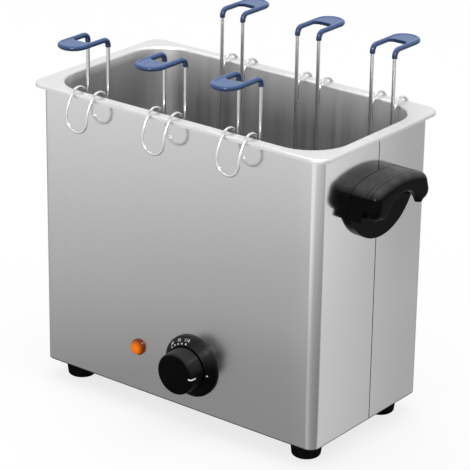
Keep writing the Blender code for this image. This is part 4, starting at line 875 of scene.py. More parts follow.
def blue_plastic():
    """Soft blue plastic that the hand loops were dipped in, with the ripples of the dip and painted
    light on top.
    """
    plastic = Finish("blue_dipped_plastic", (0.028, 0.073, 0.215), roughness=0.24)
    ripples = plastic.noise(3.0 * MM)
    waves = plastic.noise(5.0 * MM, detail=1.0)
    uneven = plastic.spread(ripples, -0.08, 0.08)
    # Painted light and shade: tops lighter and sides darker by which way they face, plus some
    # random tone
    painted_top_light_and_tone = plastic.maths("ADD", plastic.facing_up(-0.2, 1.0), uneven)
    plastic.shade(painted_top_light_and_tone, 0.38, 1.35, tint=(1.05, 1.04, 0.97), start=0.0, end=1.0)
    plastic.gloss(ripples, 0.2, 0.28)
    plastic.set(Specular_IOR_Level=0.42)
    return plastic.relief(waves, depth=0.04 * MM, strength=0.3).material


def white_print():
    """White pad print, thin in places."""
    ink = Finish("white_print", (0.80, 0.80, 0.78), roughness=0.5)
    wear = ink.noise(0.5 * MM, detail=4.0)
    ink.shade(wear, 0.8, 1.02)
    ink.gloss(wear, 0.42, 0.6)
    return ink.relief(wear, depth=0.005 * MM, strength=0.4).material


# Putting pieces in the scene

def show(name, mesh, material, body, stands_for=(), sharp=SHARP_ANGLE):
    """Show a mesh as one piece that rides on a body of the frame."""
    mesh.name = name
    mesh.materials.clear()
    mesh.materials.append(material)
    mesh.shade_smooth()
    mesh.set_sharp_from_angle(angle=math.radians(sharp))
    piece = bpy.data.objects.new(name, mesh)
    bpy.context.scene.collection.objects.link(piece)
    if stands_for:
        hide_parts(*stands_for)
    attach(piece, body)
    return piece


def placed(mesh, matrix):
    """A copy of a mesh moved to its place."""
    moved = mesh.copy()
    moved.transform(matrix)
    return moved


def dress_cad_nodes():
    """Give the pieces that are shown as CAD made them their finishes."""
    finishes = {
        "base_plate": GALVANISED,
        "heater_clamp": GALVANISED,
        "heater_plate": ALUMINIUM,
        "heating_element": ZINC,
        "thermostat_capillary": COPPER,
        "thermostat_body": CERAMIC,
        "terminal_block": CERAMIC,
        "overheat_cutout": PLASTIC,
        "lamp_body": PLASTIC,
    }
    for name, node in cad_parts.items():
        material = finishes.get(name, ZINC)
        if not node.material_slots:
            node.data.materials.append(material)
        for place in node.material_slots:
            place.material = material


# Body pieces

def make_tank():
    """The pan: a rim rolled over the casing, tapering walls and a rounded floor."""
    wall_start = OPENING_INSET + TANK_TAPER
    wall_foot = TANK_DEPTH - TANK_WALL - TANK_FLOOR_RADIUS
    edge = arc((RIM_EDGE_RADIUS, -RIM_EDGE_RADIUS), RIM_EDGE_RADIUS, math.pi, QUARTER, EDGE_STEPS)
    opening = arc((RIM_FLANGE, -OPENING_EDGE_RADIUS), OPENING_EDGE_RADIUS, QUARTER, 0, EDGE_STEPS)
    floor_centre = (wall_start + TANK_FLOOR_RADIUS, -wall_foot)
    floor = arc(floor_centre, TANK_FLOOR_RADIUS, math.pi, 3 * QUARTER, 2 * EDGE_STEPS)
    sections = [(0, -RIM_DROP, RIM_CORNER_RADIUS)]
    sections += [(inset, z, RIM_CORNER_RADIUS - inset) for inset, z in edge]
    corner = OPENING_CORNER_RADIUS + OPENING_INSET
    sections += [(inset, z, corner - inset) for inset, z in opening + floor]
    rings = []
    for inset, z, radius in sections:
        outline = rounded_rectangle(RIM_LENGTH - 2 * inset, RIM_WIDTH - 2 * inset, radius)
        rings.append([(x, y, RIM_TOP + z) for x, y in outline])
    mesh = skin("tank", rings, close_first=False)

    def add_wall(helper):
        step = helper.modifiers.new("wall", "SOLIDIFY")
        step.thickness = TANK_WALL
        step.offset = -1
        step.use_even_offset = True

    pan = worked("tank_pan", mesh, add_wall)
    show("tank_pan", pan, TANK_STEEL, "boiler", ["tank"])


def shell_band(side, start, tongue):
    """The folded sheet round one long side, its lower edge rounded as it turns under."""
    face = side * REAR_FACE
    near = END_FACE - SHEET
    outer = [(-END_FACE, start, 0), (-END_FACE, face, CASING_CORNER_RADIUS)]
    outer += [(END_FACE, face, CASING_CORNER_RADIUS), (END_FACE, start, 0)]
    inner_face = face - side * SHEET
    inner = [(-near, start, 0), (-near, inner_face, CASING_CORNER_RADIUS - SHEET)]
    inner += [(near, inner_face, CASING_CORNER_RADIUS - SHEET), (near, start, 0)]
    if tongue:
        bend = start - side * SEAM_STEP
        tip = start - side * SEAM_TONGUE
        tongue_outer = near - SEAT_GAP
        tongue_inner = tongue_outer - SHEET
        outer = [(-tongue_outer, tip, 0), (-tongue_outer, bend, 0)] + outer
        outer += [(tongue_outer, bend, 0), (tongue_outer, tip, 0)]
        inner = [(-tongue_inner, tip, 0), (-tongue_inner, bend, 0)] + inner
        inner += [(tongue_inner, bend, 0), (tongue_inner, tip, 0)]
    outer = [Vector(point) for point in filleted(outer, CORNER_STEPS)]
    inner = [Vector(point) for point in filleted(inner, CORNER_STEPS)]
    rings = []
    for step in range(EDGE_STEPS + 1):
        angle = QUARTER * (step + 1) / (EDGE_STEPS + 1)
        share = 1 - math.sin(angle)
        height = CASING_FOOT + SHEET * (1 - math.cos(angle))
        moved = [a.lerp(b, share) for a, b in zip(outer, inner)]
        rings.append([(*point, height) for point in moved + inner[::-1]])
    rings.append([(*point, CASING_TOP) for point in outer + inner[::-1]])
    return skin("band", rings)


def shell_flanges(side, start):
    """The flanges turned in at a shell's lower edge."""
    low = CASING_FOOT
    high = CASING_FOOT + SHEET
    corner = CASING_CORNER_RADIUS + FLANGE_RELIEF
    reach = END_FACE - corner
    front, back = sorted((side * (REAR_FACE - SHEET), side * (REAR_FACE - SIDE_FLANGE)))
    flanges = [box((-reach, front, low), (reach, back, high), FLANGE_EDGE)]
    tongue_end = start + side * (SEAM_TONGUE + FLANGE_RELIEF)
    front, back = sorted((side * (REAR_FACE - corner), tongue_end))
    for end in (-1, 1):
        left, right = sorted((end * (END_FACE - SHEET), end * (END_FACE - END_FLANGE)))
        flanges.append(box((left, front, low), (right, back, high), FLANGE_EDGE))
    return flanges


def make_casing():
    """The front shell, with a tongue behind each seam, and the rear shell with the gland's hole."""
    start = SEAM_Y - SEAM_STEP / 2
    front = joined("front", [shell_band(-1, start, True)] + shell_flanges(-1, start))
    show("front_panel", front, CASING_STEEL, "boiler", ["front_shell"])
    start = REAR_LOW.y
    place = (GLAND_MIDDLE.x, REAR_FACE, GLAND_MIDDLE.z)

    def drill(helper):
        hole = tool(rod("hole", place, GLAND_NECK_RADIUS + FIT_GAP, HOLE_CUT_LENGTH, TO_FRONT))
        combine(helper, hole, "DIFFERENCE")
        return [hole]

    band = worked("band", shell_band(1, start, False), drill)
    rear = joined("rear", [band] + shell_flanges(1, start))
    show("rear_panel", rear, CASING_STEEL, "boiler", ["rear_shell"])


def make_feet():
    """Rubber feet with a rounded tread, a recess below and a stem into the casing."""
    top = CASING_FOOT - SEAT_GAP
    lip_centre = (FOOT_TOP_RADIUS - FOOT_LIP, top - FOOT_LIP)
    tread_centre = (FOOT_LOW_RADIUS - FOOT_EDGE_RADIUS, FOOT_EDGE_RADIUS)
    recess_centre = (FOOT_RECESS_RADIUS + FOOT_LIP, FOOT_LIP)
    profile = [(0, FOOT_HIGH.z), (FOOT_NECK_RADIUS, FOOT_HIGH.z), (FOOT_NECK_RADIUS, top)]
    profile += arc(lip_centre, FOOT_LIP, QUARTER, 0, EDGE_STEPS)
    profile += arc(tread_centre, FOOT_EDGE_RADIUS, 0, -QUARTER, EDGE_STEPS)
    profile += arc(recess_centre, FOOT_LIP, 3 * QUARTER, 2 * QUARTER, EDGE_STEPS)
    profile += [(FOOT_RECESS_RADIUS, FOOT_RECESS_DEPTH), (0, FOOT_RECESS_DEPTH)]
    foot = turned("foot", profile)
    for end in ("front", "rear"):
        for side in ("left", "right"):
            node = "foot_" + end + "_" + side
            middle = size_of(node)[2]
            mesh = placed(foot, Matrix.Translation((middle.x, middle.y, 0)))
            show("rubber_" + node, mesh, RUBBER, "boiler", [node])


# Handles

def handle_crown(inset, half, steps):
    """The shallow arc along the top of a handle, from right to left, set in by inset."""
    radius = HANDLE_CROWN_RADIUS - inset
    angle = math.asin(half / radius)
    return arc((0, -HANDLE_CROWN_RADIUS), radius, QUARTER - angle, QUARTER + angle, steps)


def ended(points, radius):
    """Points as corners of an outline, its two ends rounded and clear of their neighbours."""
    first, last = Vector(points[0]), Vector(points[-1])
    room = END_ROOM * radius
    corners = [(*first, radius)]
    for point in points[1:-1]:
        if min((Vector(point) - first).length, (Vector(point) - last).length) > room:
            corners.append((*point, 0))
    return corners + [(*last, radius)]


def crown_corners(inset, half, radius):
    """The crown as corners of an outline, its two ends rounded."""
    return ended(handle_crown(inset, half, CROWN_STEPS), radius)


def work_bosses(helper, operation, middle, length):
    """Join on a handle's two screw bosses, or leave them out of what cuts its room."""
    bosses = []
    for shift in (-HANDLE_SCREW_SPREAD, HANDLE_SCREW_SPREAD):
        place = (shift, -HANDLE_SCREW_DROP, middle)
        bosses.append(tool(rod("boss", place, HANDLE_BOSS_RADIUS, length)))
        combine(helper, bosses[-1], operation)
    return bosses


def handle_pocket(low, high):
    """The finger room inside a handle, open downwards."""
    half = HANDLE_SIDE_HALF - HANDLE_WALL
    depth = HANDLE_SIDE_DROP + HANDLE_APRON_RADIUS
    corners = crown_corners(HANDLE_TOP_WALL, HANDLE_CROWN_HALF - HANDLE_WALL, HANDLE_WALL)
    corners += [(-half, -HANDLE_SIDE_DROP, 0), (-half, -depth, 0)]
    corners += [(half, -depth, 0), (half, -HANDLE_SIDE_DROP, 0)]
    return plate("pocket", filleted(corners, POCKET_CORNER_STEPS), low, high)


def handle_back():
    """The back of a handle: walls round the finger room, and an apron below it."""
    half = math.asin(HANDLE_SIDE_HALF / HANDLE_APRON_RADIUS)
    centre = (0, HANDLE_APRON_RADIUS * math.cos(half) - HANDLE_SIDE_DROP)
    below = 3 * QUARTER
    apron = arc(centre, HANDLE_APRON_RADIUS, below - half, below + half, APRON_STEPS)
    corners = crown_corners(0, HANDLE_CROWN_HALF, HANDLE_SHOULDER_RADIUS)
    corners += [(*point, 0) for point in apron]
    outline = filleted(corners, HANDLE_CORNER_STEPS)
    mesh = plate("back", outline, SEAT_GAP, HANDLE_BACK_DEPTH)

    def leave_bosses(helper):
        return work_bosses(helper, "DIFFERENCE", HANDLE_BACK_DEPTH, 2 * HANDLE_BACK_DEPTH)

    def hollow(helper):
        over = HANDLE_BACK_DEPTH + CUT_OVERRUN
        reach = 2 * HANDLE_SIDE_HALF
        room = worked("room", handle_pocket(HANDLE_APRON_DEPTH, over), leave_bosses)
        low = (-reach, -HANDLE_SIDE_DROP - reach, HANDLE_APRON_DEPTH)
        high = (reach, -HANDLE_SIDE_DROP, over)
        tools = [tool(room), tool(box(low, high, FLANGE_EDGE))]
        for cutter in tools:
            combine(helper, cutter, "DIFFERENCE")
        return tools

    return worked("handle_back", mesh, hollow)


def handle_hood():
    """The hood of a handle: an arched bow with two lobes, grooved along its crown."""
    arch_top = HANDLE_ARCH_RISE - HANDLE_SIDE_DROP
    centre = (0, arch_top - HANDLE_ARCH_RADIUS)
    drop = HANDLE_ARCH_RADIUS - HANDLE_ARCH_RISE
    half = math.sqrt(HANDLE_ARCH_RADIUS ** 2 - drop ** 2)
    spread = math.asin(half / HANDLE_ARCH_RADIUS)
    arch = arc(centre, HANDLE_ARCH_RADIUS, QUARTER + spread, QUARTER - spread, ARCH_STEPS)
    corners = crown_corners(0, HANDLE_CROWN_HALF, HANDLE_SHOULDER_RADIUS)
    corners += [(-HANDLE_SIDE_HALF, -HANDLE_SIDE_DROP, HANDLE_LOBE_RADIUS)]
    corners += ended(arch, HANDLE_ARCH_CORNER)
    corners += [(HANDLE_SIDE_HALF, -HANDLE_SIDE_DROP, HANDLE_LOBE_RADIUS)]
    outline = filleted(corners, HANDLE_CORNER_STEPS)
    edge_radii = []
    groove = []
    for x, y in outline:
        in_arch = abs(x) < half + HANDLE_ARCH_CORNER and y < arch_top + MERGE_DISTANCE
        edge_radii.append(HANDLE_ARCH_EDGE if in_arch else HANDLE_EDGE_RADIUS)
        groove.append(HANDLE_GROOVE if y > -HANDLE_SHOULDER_RADIUS else 0)
    start = HANDLE_BACK_DEPTH + SEAT_GAP
    crease = HANDLE_DEPTH - HANDLE_EDGE_RADIUS
    level = [0] * len(outline)
    sections = [(level, start), (level, crease - HANDLE_GROOVE_WIDTH)]
    sections.append((groove, crease - HANDLE_GROOVE_WIDTH / 2))
    for step in range(HOOD_EDGE_STEPS + 1):
        angle = QUARTER * step / HOOD_EDGE_STEPS
        insets = [radius * (1 - math.cos(angle)) for radius in edge_radii]
        sections.append((insets, crease + HANDLE_EDGE_RADIUS * math.sin(angle)))
    rings = []
    for insets, height in sections:
        rings.append([(*point, height) for point in inset_outline(outline, insets)])
    mesh = skin("hood", rings)

    def hollow(helper):
        pocket = tool(handle_pocket(start - CUT_OVERRUN, HANDLE_DEPTH - HANDLE_WALL))
        combine(helper, pocket, "DIFFERENCE")
        length = HANDLE_DEPTH - start - HANDLE_WALL / 2
        return [pocket] + work_bosses(helper, "UNION", start + length / 2, length)

    return worked("handle_hood", mesh, hollow)


def make_handles():
    """A cup handle over the seam in each end wall."""
    back = handle_back()
    hood = handle_hood()
    for side, sign, turn in (("right", 1, TO_RIGHT), ("left", -1, TO_LEFT)):
        place = Matrix.Translation((sign * END_FACE, SEAM_Y, HANDLE_TOP)) @ turn
        for part, shape, sharp in (("back", back, SHARP_ANGLE), ("hood", hood, HOOD_SHARP_ANGLE)):
            node = "handle_" + part + "_" + side
            mesh = placed(shape, place)
            show("moulded_" + node, mesh, BAKELITE, "boiler", [node], sharp)


# Dial, knob, lamp and gland

def rounded_profile(points, radius, steps=EDGE_STEPS):
    """A profile of (radius, height) points, rounded at all of them but its two ends."""
    corners = [(*point, radius) for point in points]
    corners[0] = (*points[0], 0)
    corners[-1] = (*points[-1], 0)
    return filleted(corners, steps)


def bezel_height(radius):
    """How far the dial ring's cone stands off the panel at a radius."""
    share = (radius - BEZEL_CONE_RADIUS) / (BEZEL_RIM_RADIUS - BEZEL_CONE_RADIUS)
    return BEZEL_RISE + (BEZEL_EDGE - BEZEL_RISE) * share


def make_dial():
    """The dial ring, and the knob with its white mark."""
    place = Matrix.Translation(DIAL_PLACE) @ TO_FRONT
    profile = [(BEZEL_BORE, 0), (BEZEL_BORE, BEZEL_RISE), (BEZEL_CONE_RADIUS, BEZEL_RISE)]
    profile += [(BEZEL_RIM_RADIUS, BEZEL_EDGE), (BEZEL_RADIUS, BEZEL_EDGE * 2 / 3)]
    profile += [(BEZEL_RADIUS, 0)]
    ring = turned("bezel", rounded_profile(profile, BEZEL_BREAK), TURN_STEPS, ring=True)
    show("dial_ring", placed(ring, place), PLASTIC, "boiler", ["dial_bezel"])

    back = BEZEL_RISE + FIT_GAP
    front = back + KNOB_HEIGHT
    face = KNOB_RADIUS - KNOB_TAPER
    edge_centre = (face - KNOB_EDGE_RADIUS, front - KNOB_EDGE_RADIUS)
    edge = arc(edge_centre, KNOB_EDGE_RADIUS, QUARTER, 0, EDGE_STEPS)
    profile = [(0, front)] + edge
    profile += [(KNOB_RADIUS, back + FIT_GAP), (KNOB_RADIUS - FIT_GAP, back)]
    profile += [(KNOB_RADIUS - KNOB_SKIN, back), (face - KNOB_SKIN, front - KNOB_SKIN)]
    profile += [(0, front - KNOB_SKIN)]
    cap = turned("knob", profile, TURN_STEPS)
    show("knob_cap", placed(cap, place), PLASTIC, "knob", ["control_knob"])

    foot = face + KNOB_TAPER * KNOB_MARK_DROP / KNOB_HEIGHT
    line = [(KNOB_MARK_START, front)] + edge + [(foot, edge_centre[1] - KNOB_MARK_DROP)]
    mark = ribbon("mark", line, KNOB_MARK_WIDTH, PRINT_THICKNESS)
    show("knob_mark", placed(mark, place), PRINT, "knob")


def ribbon(name, line, width, thickness):
    """A thin strip of paint that follows a line of (radius, height)."""
    rings = []
    for radius, height in line:
        low = Vector((radius - thickness, 0, height - thickness))
        high = Vector((radius + thickness, 0, height + thickness))
        side = Vector((0, width / 2, 0))
        rings.append([low - side, low + side, high + side, high - side])
    return skin(name, rings)


def tilt_to_cone(radius, angle):
    """Lay something flat on the dial ring's cone, its top away from the middle."""
    slope = math.atan((BEZEL_RISE - BEZEL_EDGE) / (BEZEL_RIM_RADIUS - BEZEL_CONE_RADIUS))
    turn = Matrix.Rotation(math.radians(angle) - QUARTER, 4, "Z")
    lean = Matrix.Rotation(-slope, 4, "X")
    return turn @ Matrix.Translation((0, radius, bezel_height(radius))) @ lean


def make_print():
    """The dots and plain numbers printed on the dial ring."""
    place = Matrix.Translation(DIAL_PLACE) @ TO_FRONT
    shapes = []
    for angle in DOT_ANGLES:
        dot = rod("dot", (0, 0, 0), PRINT_DOT, 2 * PRINT_THICKNESS)
        shapes.append(placed(dot, place @ tilt_to_cone(PRINT_RADIUS, angle)))
    for text, angle in NUMBER_ANGLES:
        curve = bpy.data.curves.new("number", "FONT")
        curve.body = text
        curve.size = PRINT_NUMBER_SIZE
        curve.align_x = "CENTER"
        curve.align_y = "CENTER"
        curve.extrude = PRINT_THICKNESS
        mesh = worked("number", curve, lambda helper: [])
        shapes.append(placed(mesh, place @ tilt_to_cone(PRINT_NUMBER_RADIUS, angle)))
    show("dial_print", joined("print", shapes), PRINT, "boiler")


def make_lamp():
    """The pilot lamp's lens: a rim on the panel and a bevelled face."""
    foot = BEZEL_HIGH.y - LENS_HIGH.y
    profile = [(0, LENS_HEIGHT), (LENS_FACE_RADIUS, LENS_HEIGHT)]
    profile += [(LENS_RADIUS - LENS_BREAK, LENS_RIM), (LENS_RADIUS, LENS_RIM - LENS_BREAK)]
    profile += [(LENS_RADIUS, 0), (LENS_STEM_RADIUS, 0), (LENS_STEM_RADIUS, foot), (0, foot)]
    place = Matrix.Translation(LENS_PLACE) @ TO_FRONT
    mesh = placed(turned("lens", rounded_profile(profile, LENS_ROUNDING)), place)
    show("lamp_window", mesh, AMBER, "boiler", ["lamp_lens"])


def make_gland():
    """The snap-in cord gland in the rear panel."""
    barb = -SHEET - 2 * SEAT_GAP
    profile = [
        (GLAND_BORE_RADIUS, GLAND_REACH),
        (GLAND_DOME_RADIUS - GLAND_BARB, GLAND_REACH),
        (GLAND_DOME_RADIUS, GLAND_REACH - 2 * GLAND_BARB),
        (GLAND_DOME_RADIUS, GLAND_FLANGE),
        (GLAND_FLANGE_RADIUS, GLAND_FLANGE),
        (GLAND_FLANGE_RADIUS, 0),
        (GLAND_NECK_RADIUS, 0),
        (GLAND_NECK_RADIUS, barb),
        (GLAND_NECK_RADIUS + GLAND_BARB, barb),
        (GLAND_NECK_RADIUS - GLAND_BARB, barb - GLAND_TAIL),
        (GLAND_BORE_RADIUS, barb - GLAND_TAIL),
    ]
    place = Matrix.Translation((GLAND_MIDDLE.x, REAR_FACE + SEAT_GAP, GLAND_MIDDLE.z)) @ TO_REAR
    mesh = placed(turned("gland", rounded_profile(profile, SEAT_GAP), ring=True), place)
    show("gland_bush", mesh, PLASTIC, "boiler", ["cord_gland"])


# Egg holders

def hand_path(leg):
    """Centre line of a holder's rod: up one leg, round the hand loop and down the other."""
    bend_height = HAND_HEIGHT - HAND_BEND
    rise = [(ROD_PLACE, bend_height - leg)]
    rise += arc((ROD_PLACE + HAND_BEND, bend_height), HAND_BEND, math.pi, QUARTER, BEND_STEPS)
    loop_y = ROD_PLACE + HAND_LENGTH - GRIP_RADIUS - ROD_SPREAD
    points = [(ROD_SPREAD, y, z) for y, z in rise]
    points += [(x, y, HAND_HEIGHT) for x, y in arc((0, loop_y), ROD_SPREAD, 0, math.pi, HAND_STEPS)]
    points += [(-ROD_SPREAD, y, z) for y, z in reversed(rise)]
    return points


def holder_grip():
    """The dipped pad: a sleeve round the loop flowing into a web across its end."""
    loop_y = ROD_PLACE + HAND_LENGTH - GRIP_RADIUS - ROD_SPREAD
    web_start = ROD_PLACE + GRIP_WEB_START
    outline = arc((0, loop_y), ROD_SPREAD, 0, math.pi, HAND_STEPS)
    outline += [(-ROD_SPREAD, web_start), (-ROD_SPREAD / 2, web_start + GRIP_WEB_HOLLOW)]
    outline += [(ROD_SPREAD / 2, web_start + GRIP_WEB_HOLLOW), (ROD_SPREAD, web_start)]
    web = plate("web", outline, HAND_HEIGHT - GRIP_WEB / 2, HAND_HEIGHT + GRIP_WEB / 2)
    sleeve = wire("sleeve", hand_path(GRIP_LEG), GRIP_RADIUS, BLUE, sides=SLEEVE_SIDES)

    def melt(helper):
        step = helper.modifiers.new("melt", "REMESH")
        step.mode = "VOXEL"
        step.voxel_size = GRIP_GRAIN
        soften = helper.modifiers.new("soften", "SMOOTH")
        soften.factor = GRIP_SOFTENING
        soften.iterations = GRIP_SOFTENINGS

    mesh = worked("grip", joined("grip", [web, sleeve]), melt)
    for vertex in mesh.vertices:
        above = vertex.co.z - HAND_HEIGHT
        if above > 0:
            vertex.co.z = HAND_HEIGHT + above * GRIP_TOP / GRIP_RADIUS
    return mesh


def hook_path():
    """The hook wire: up from one rod, over the rim, bowed outwards to a hanging loop, and back."""
    inner = ROD_PLACE + ROD_RADIUS + SEAT_GAP + HOOK_RADIUS
    outer = RIM_WIDTH / 2 + HOOK_CLEARANCE + HOOK_RADIUS
    radius = (outer - inner) / 2
    middle = (outer + inner) / 2
    reach = radius - HOOK_RADIUS - SEAT_GAP - RIM_EDGE_RADIUS
    offset = RIM_WIDTH / 2 - RIM_EDGE_RADIUS - middle
    height = -RIM_EDGE_RADIUS - math.sqrt(reach ** 2 - offset ** 2)
    seat = math.atan2(-RIM_EDGE_RADIUS - height, offset)
    side = [(inner, -HOOK_WELD_DROP)] + arc((middle, height), radius, math.pi, seat, HAND_STEPS)
    leave = Vector(side[-1])
    far = outer + HOOK_BOW
    turn = Vector((far, leave.y - (far - leave.x) / math.tan(seat)))
    arrive = Vector((far, ROD_SPREAD - HOOK_LOOP_DROP))
    for step in range(1, BOW_STEPS):
        share = step / BOW_STEPS
        side.append(leave.lerp(turn, share).lerp(turn.lerp(arrive, share), share))
    loop = arc((0, arrive.y), ROD_SPREAD, 0, -math.pi, HAND_STEPS)
    points = [(ROD_SPREAD, y, z) for y, z in side]
    points += [(x, far, z) for x, z in loop]
    points += [(-ROD_SPREAD, y, z) for y, z in reversed(side)]
    return points, inner


def holder_cup(centre):
    """The egg cup: a ring and two crossed wires under it."""
    circle = arc((0, centre), RING_RADIUS, 0, 2 * math.pi, RING_STEPS)[:-1]
    ring = [(x, y, -RING_DROP) for x, y in circle]
    meshes = [wire("ring", ring, RING_WIRE, WIRE_STEEL, closed=True)]
    profile = []
    for out, down in CUP_PROFILE_SHARES:
        profile.append(Vector((RING_RADIUS * out, -RING_DROP - CUP_DEPTH * down)))
    profile += [Vector((-point.x, point.y)) for point in reversed(profile[:-1])]
    for turn, lift in ((QUARTER / 2, 0), (3 * QUARTER / 2, RING_WIRE)):
        points = []
        for out, z in eased_path(profile, CUP_WIRE_STEPS):
            x = out * math.cos(turn)
            y = centre + out * math.sin(turn)
            share = min(1, (-RING_DROP - z) / CUP_DEPTH)
            points.append((x, y, z + lift * share))
        meshes.append(wire("cup_wire", points, RING_WIRE, WIRE_STEEL))
    return joined("cup", meshes)


def weld_places(inner, centre, reach):
    """Where a holder's beads sit: two on each leg of the hook, one on each side of the ring."""
    places = []
    share = RING_RADIUS / reach
    for side in (-1, 1):
        for beads_up in (1, 4):
            drop = beads_up * WELD_RADIUS - HOOK_WELD_DROP
            places.append((side * ROD_SPREAD, (inner + ROD_PLACE) / 2, drop))
        y = centre + (ROD_PLACE - centre) * share
        places.append((side * ROD_SPREAD * share, y, -RING_DROP))
    return places


def make_holders():
    """The six egg holders, each with its frame, hand pad, hook, cup and weld beads."""
    reach = RING_RADIUS + RING_WIRE + SEAT_GAP + ROD_RADIUS
    centre = ROD_PLACE - math.sqrt(reach ** 2 - ROD_SPREAD ** 2)
    leg = HAND_HEIGHT - HAND_BEND + RING_DROP + RING_WIRE
    rods = wire("frame", hand_path(leg), ROD_RADIUS, ROD_STEEL)
    grip = holder_grip()
    path, inner = hook_path()
    hook = wire("hook", path, HOOK_RADIUS, WIRE_STEEL)
    cup = holder_cup(centre)
    welds = weld_places(inner, centre, reach)
    for number in range(1, 7):
        name = "holder_" + str(number)
        body = "egg_" + name
        middle = size_of(name + "_frame")[2]
        turn = math.pi if middle.y < 0 else 0
        place = Matrix.Translation((middle.x, 0, RIM_TOP)) @ Matrix.Rotation(turn, 4, "Z")
        pad = placed(grip, place)
        show(name + "_rods", placed(rods, place), ROD_STEEL, body, [name + "_frame"])
        show(name + "_pad", pad, BLUE, body, [name + "_grip"], SOFT_SHARP_ANGLE)
        show(name + "_hook_wire", placed(hook, place), WIRE_STEEL, body, [name + "_hook"])
        show(name + "_cup_wires", placed(cup, place), WIRE_STEEL, body, [name + "_egg_cup"])
        bead = beads("beads", welds, WELD_RADIUS, WELD_FLATNESS, number, WELD)
        show(name + "_weld_beads", placed(bead, place), WELD, body, sharp=SOFT_SHARP_ANGLE)


# Studio

def floor_front_tone(pale, distance):
    """The floor's tone at a distance from the boiler: the root of a value that grows with it."""
    return pale.maths("SQRT", pale.spread(distance, *FLOOR_FRONT_SQUARES, *FLOOR_FRONT_REACH))


def floor_corner_tone(pale, out, down, way):
    """The floor's tone round the front right corner, by its distance and direction from there."""
    sums = pale.maths
    squares = sums("ADD", sums("MULTIPLY", out, out), sums("MULTIPLY", down, down))
    reach = sums("MULTIPLY", sums("SQRT", squares), FLOOR_CORNER_SHARE)
    ramp = pale.nodes.new("ShaderNodeValToRGB")
    stops = ramp.color_ramp.elements
    for stop, (place, tone) in zip(stops, (FLOOR_CORNER_TONES[0], FLOOR_CORNER_TONES[-1])):
        stop.position = place
        stop.color = (tone, tone, tone, 1)
    for place, tone in FLOOR_CORNER_TONES[1:-1]:
        stops.new(place).color = (tone, tone, tone, 1)
    pale.link(sums("ADD", sums("MULTIPLY", way, 0.5), 0.5), ramp.inputs["Fac"])
    near = floor_front_tone(pale, sums("SUBTRACT", reach, REAR_FACE))
    return sums("MULTIPLY", near, ramp.outputs["Color"])


def floor_tone(pale):
    """How bright the floor looks in the metal, place by place."""
    sums = pale.maths
    x, y, _ = pale.parts_of(pale.place)
    out = sums("SUBTRACT", x, END_FACE)
    down = sums("SUBTRACT", sums("MULTIPLY", y, -1.0), REAR_FACE)
    way = sums("DIVIDE", sums("ARCTAN2", out, down), math.pi)
    away = sums("SUBTRACT", sums("ABSOLUTE", y), REAR_FACE)
    along = sums("MULTIPLY", x, sums("SIGN", y))
    away_share = sums("MULTIPLY", away, FLOOR_FRONT_SLOPES[0])
    along_share = sums("MULTIPLY", along, FLOOR_FRONT_SLOPES[1])
    front = floor_front_tone(pale, sums("ADD", away_share, along_share))
    corner = floor_corner_tone(pale, out, down, way)
    across = sums("SUBTRACT", y, sums("MULTIPLY", out, FLOOR_SIDE_SLOPE))
    side = pale.spread(across, *FLOOR_SIDE_TONES, *FLOOR_SIDE_REACH)
    tone = front
    for other, ways in ((corner, FLOOR_CORNER_START), (side, FLOOR_CORNER_END)):
        change = sums("MULTIPLY", sums("SUBTRACT", other, tone), pale.spread(way, 0, 1, *ways))
        tone = sums("ADD", tone, change)
    clear = sums("MAXIMUM", sums("SUBTRACT", sums("ABSOLUTE", x), END_FACE), away)
    # Painted shadow in the metal's view of the floor, under the boiler and close round it
    under = pale.spread(clear, *FLOOR_UNDER_SHADOW_TONES, *FLOOR_UNDER_SHADOW_REACH)
    return sums("MULTIPLY", sums("MINIMUM", tone, FLOOR_MOST), under)


def floor_finish():
    """Pale floor: white to the camera but for the soft shadow, greyer in the metal with painted
    shade.
    """
    pale = Finish("pale_floor", (0.93, 0.93, 0.93), roughness=0.8)
    pale.shade(pale.noise(FLOOR_CLOUD), 0.99, 1.0)
    pale.set(Specular_IOR_Level=0.0)

    def glow(strength):
        step = pale.nodes.new("ShaderNodeEmission")
        step.inputs["Color"].default_value = (1, 1, 1, 1)
        pale.feed(step.inputs["Strength"], strength)
        return step.outputs["Emission"]

    def mixed(share, first, second):
        step = pale.nodes.new("ShaderNodeMixShader")
        pale.feed(step.inputs[0], share)
        pale.link(first, step.inputs[1])
        pale.link(second, step.inputs[2])
        return step.outputs["Shader"]

    ray = pale.nodes.new("ShaderNodeLightPath").outputs
    lit = pale.shader.outputs["BSDF"]
    seen = mixed(FLOOR_GLOW, lit, glow(1.0))
    surface = mixed(ray["Is Camera Ray"], lit, seen)
    surface = mixed(ray["Is Transmission Ray"], surface, seen)
    surface = mixed(ray["Is Glossy Ray"], surface, glow(floor_tone(pale)))
    pale.link(surface, pale.nodes["Material Output"].inputs["Surface"])
    return pale.material


def make_floor():
    """A pale floor that the object's shadow falls on."""
    shape = bmesh.new()
    bmesh.ops.create_grid(shape, x_segments=1, y_segments=1, size=FLOOR_SIZE)
    floor = bpy.data.objects.new("floor", mesh_from("floor", shape))
    bpy.context.scene.collection.objects.link(floor)
    floor.data.materials.append(floor_finish())


def lamp(name, place, size, power, gloss_only=False):
    """A square area lamp turned to the boiler; it may give highlights and no other light."""
    data = bpy.data.lights.new(name, "AREA")
    data.shape = "SQUARE"
    data.size = size
    data.energy = power
    light = bpy.data.objects.new(name, data)
    light.location = place
    aim = Vector(LAMP_TARGET) - Vector(place)
    light.rotation_euler = aim.to_track_quat("-Z", "Y").to_euler()
    light.visible_diffuse = not gloss_only
    bpy.context.scene.collection.objects.link(light)


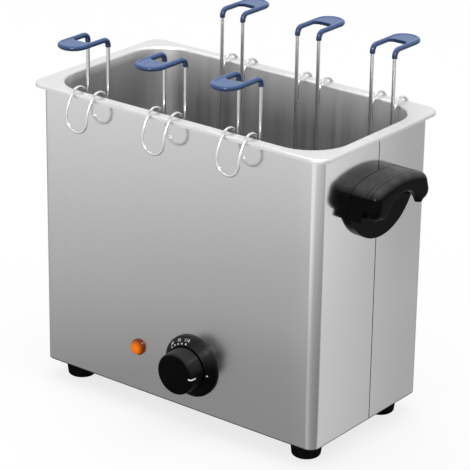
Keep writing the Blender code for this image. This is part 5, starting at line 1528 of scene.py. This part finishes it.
def make_studio():
    """Soft light from above, a small lamp at the front right for highlights, a pale surround."""
    world = bpy.data.worlds.new("studio")
    bpy.context.scene.world = world
    world.use_nodes = True
    nodes, link = world.node_tree.nodes, world.node_tree.links.new
    background = nodes["Background"]
    background.inputs["Color"].default_value = (1, 1, 1, 1)
    strength = nodes.new("ShaderNodeMapRange")
    strength.inputs["To Min"].default_value = SKY_STRENGTH
    ray = nodes.new("ShaderNodeLightPath").outputs
    link(ray["Is Camera Ray"], strength.inputs["Value"])
    link(strength.outputs["Result"], background.inputs["Strength"])
    lamp("top_box", TOP_LAMP_PLACE, TOP_LAMP_SIZE, TOP_LAMP_POWER)
    lamp("front_box", FRONT_LAMP_PLACE, FRONT_LAMP_SIZE, FRONT_LAMP_POWER, gloss_only=True)
    bpy.context.scene.view_settings.view_transform = "Standard"


def make_camera():
    """The camera, at the photograph's angle."""
    data = bpy.data.cameras.new("camera")
    data.lens = CAMERA_LENS
    camera = bpy.data.objects.new("camera", data)
    swing = Matrix.Rotation(math.radians(CAMERA_AZIMUTH), 4, "Z")
    tip = Matrix.Rotation(QUARTER - math.radians(CAMERA_ELEVATION), 4, "X")
    roll = Matrix.Rotation(math.radians(CAMERA_ROLL), 4, "Z")
    camera.matrix_world = Matrix.Translation(CAMERA_PLACE) @ swing @ tip @ roll
    bpy.context.scene.collection.objects.link(camera)
    bpy.context.scene.camera = camera


BENT_WIRE = bent_wire_group()
BEADS = bead_group()

CASING_STEEL = brushed_casing()
TANK_STEEL = polished_tank()
WIRE_STEEL = bright_wire()
ROD_STEEL = drawn_rod()
WELD = weld_metal()
ZINC = zinc_plate()
GALVANISED = galvanised()
ALUMINIUM = aluminium_plate()
COPPER = copper_tube()
RUBBER = black_rubber()
BAKELITE = black_bakelite()
PLASTIC = black_plastic()
CERAMIC = white_ceramic()
AMBER = amber_lens()
BLUE = blue_plastic()
PRINT = white_print()

dress_cad_nodes()
make_tank()
make_casing()
make_feet()
make_handles()
make_dial()
make_print()
make_lamp()
make_gland()
make_holders()
make_floor()
make_studio()
make_camera()
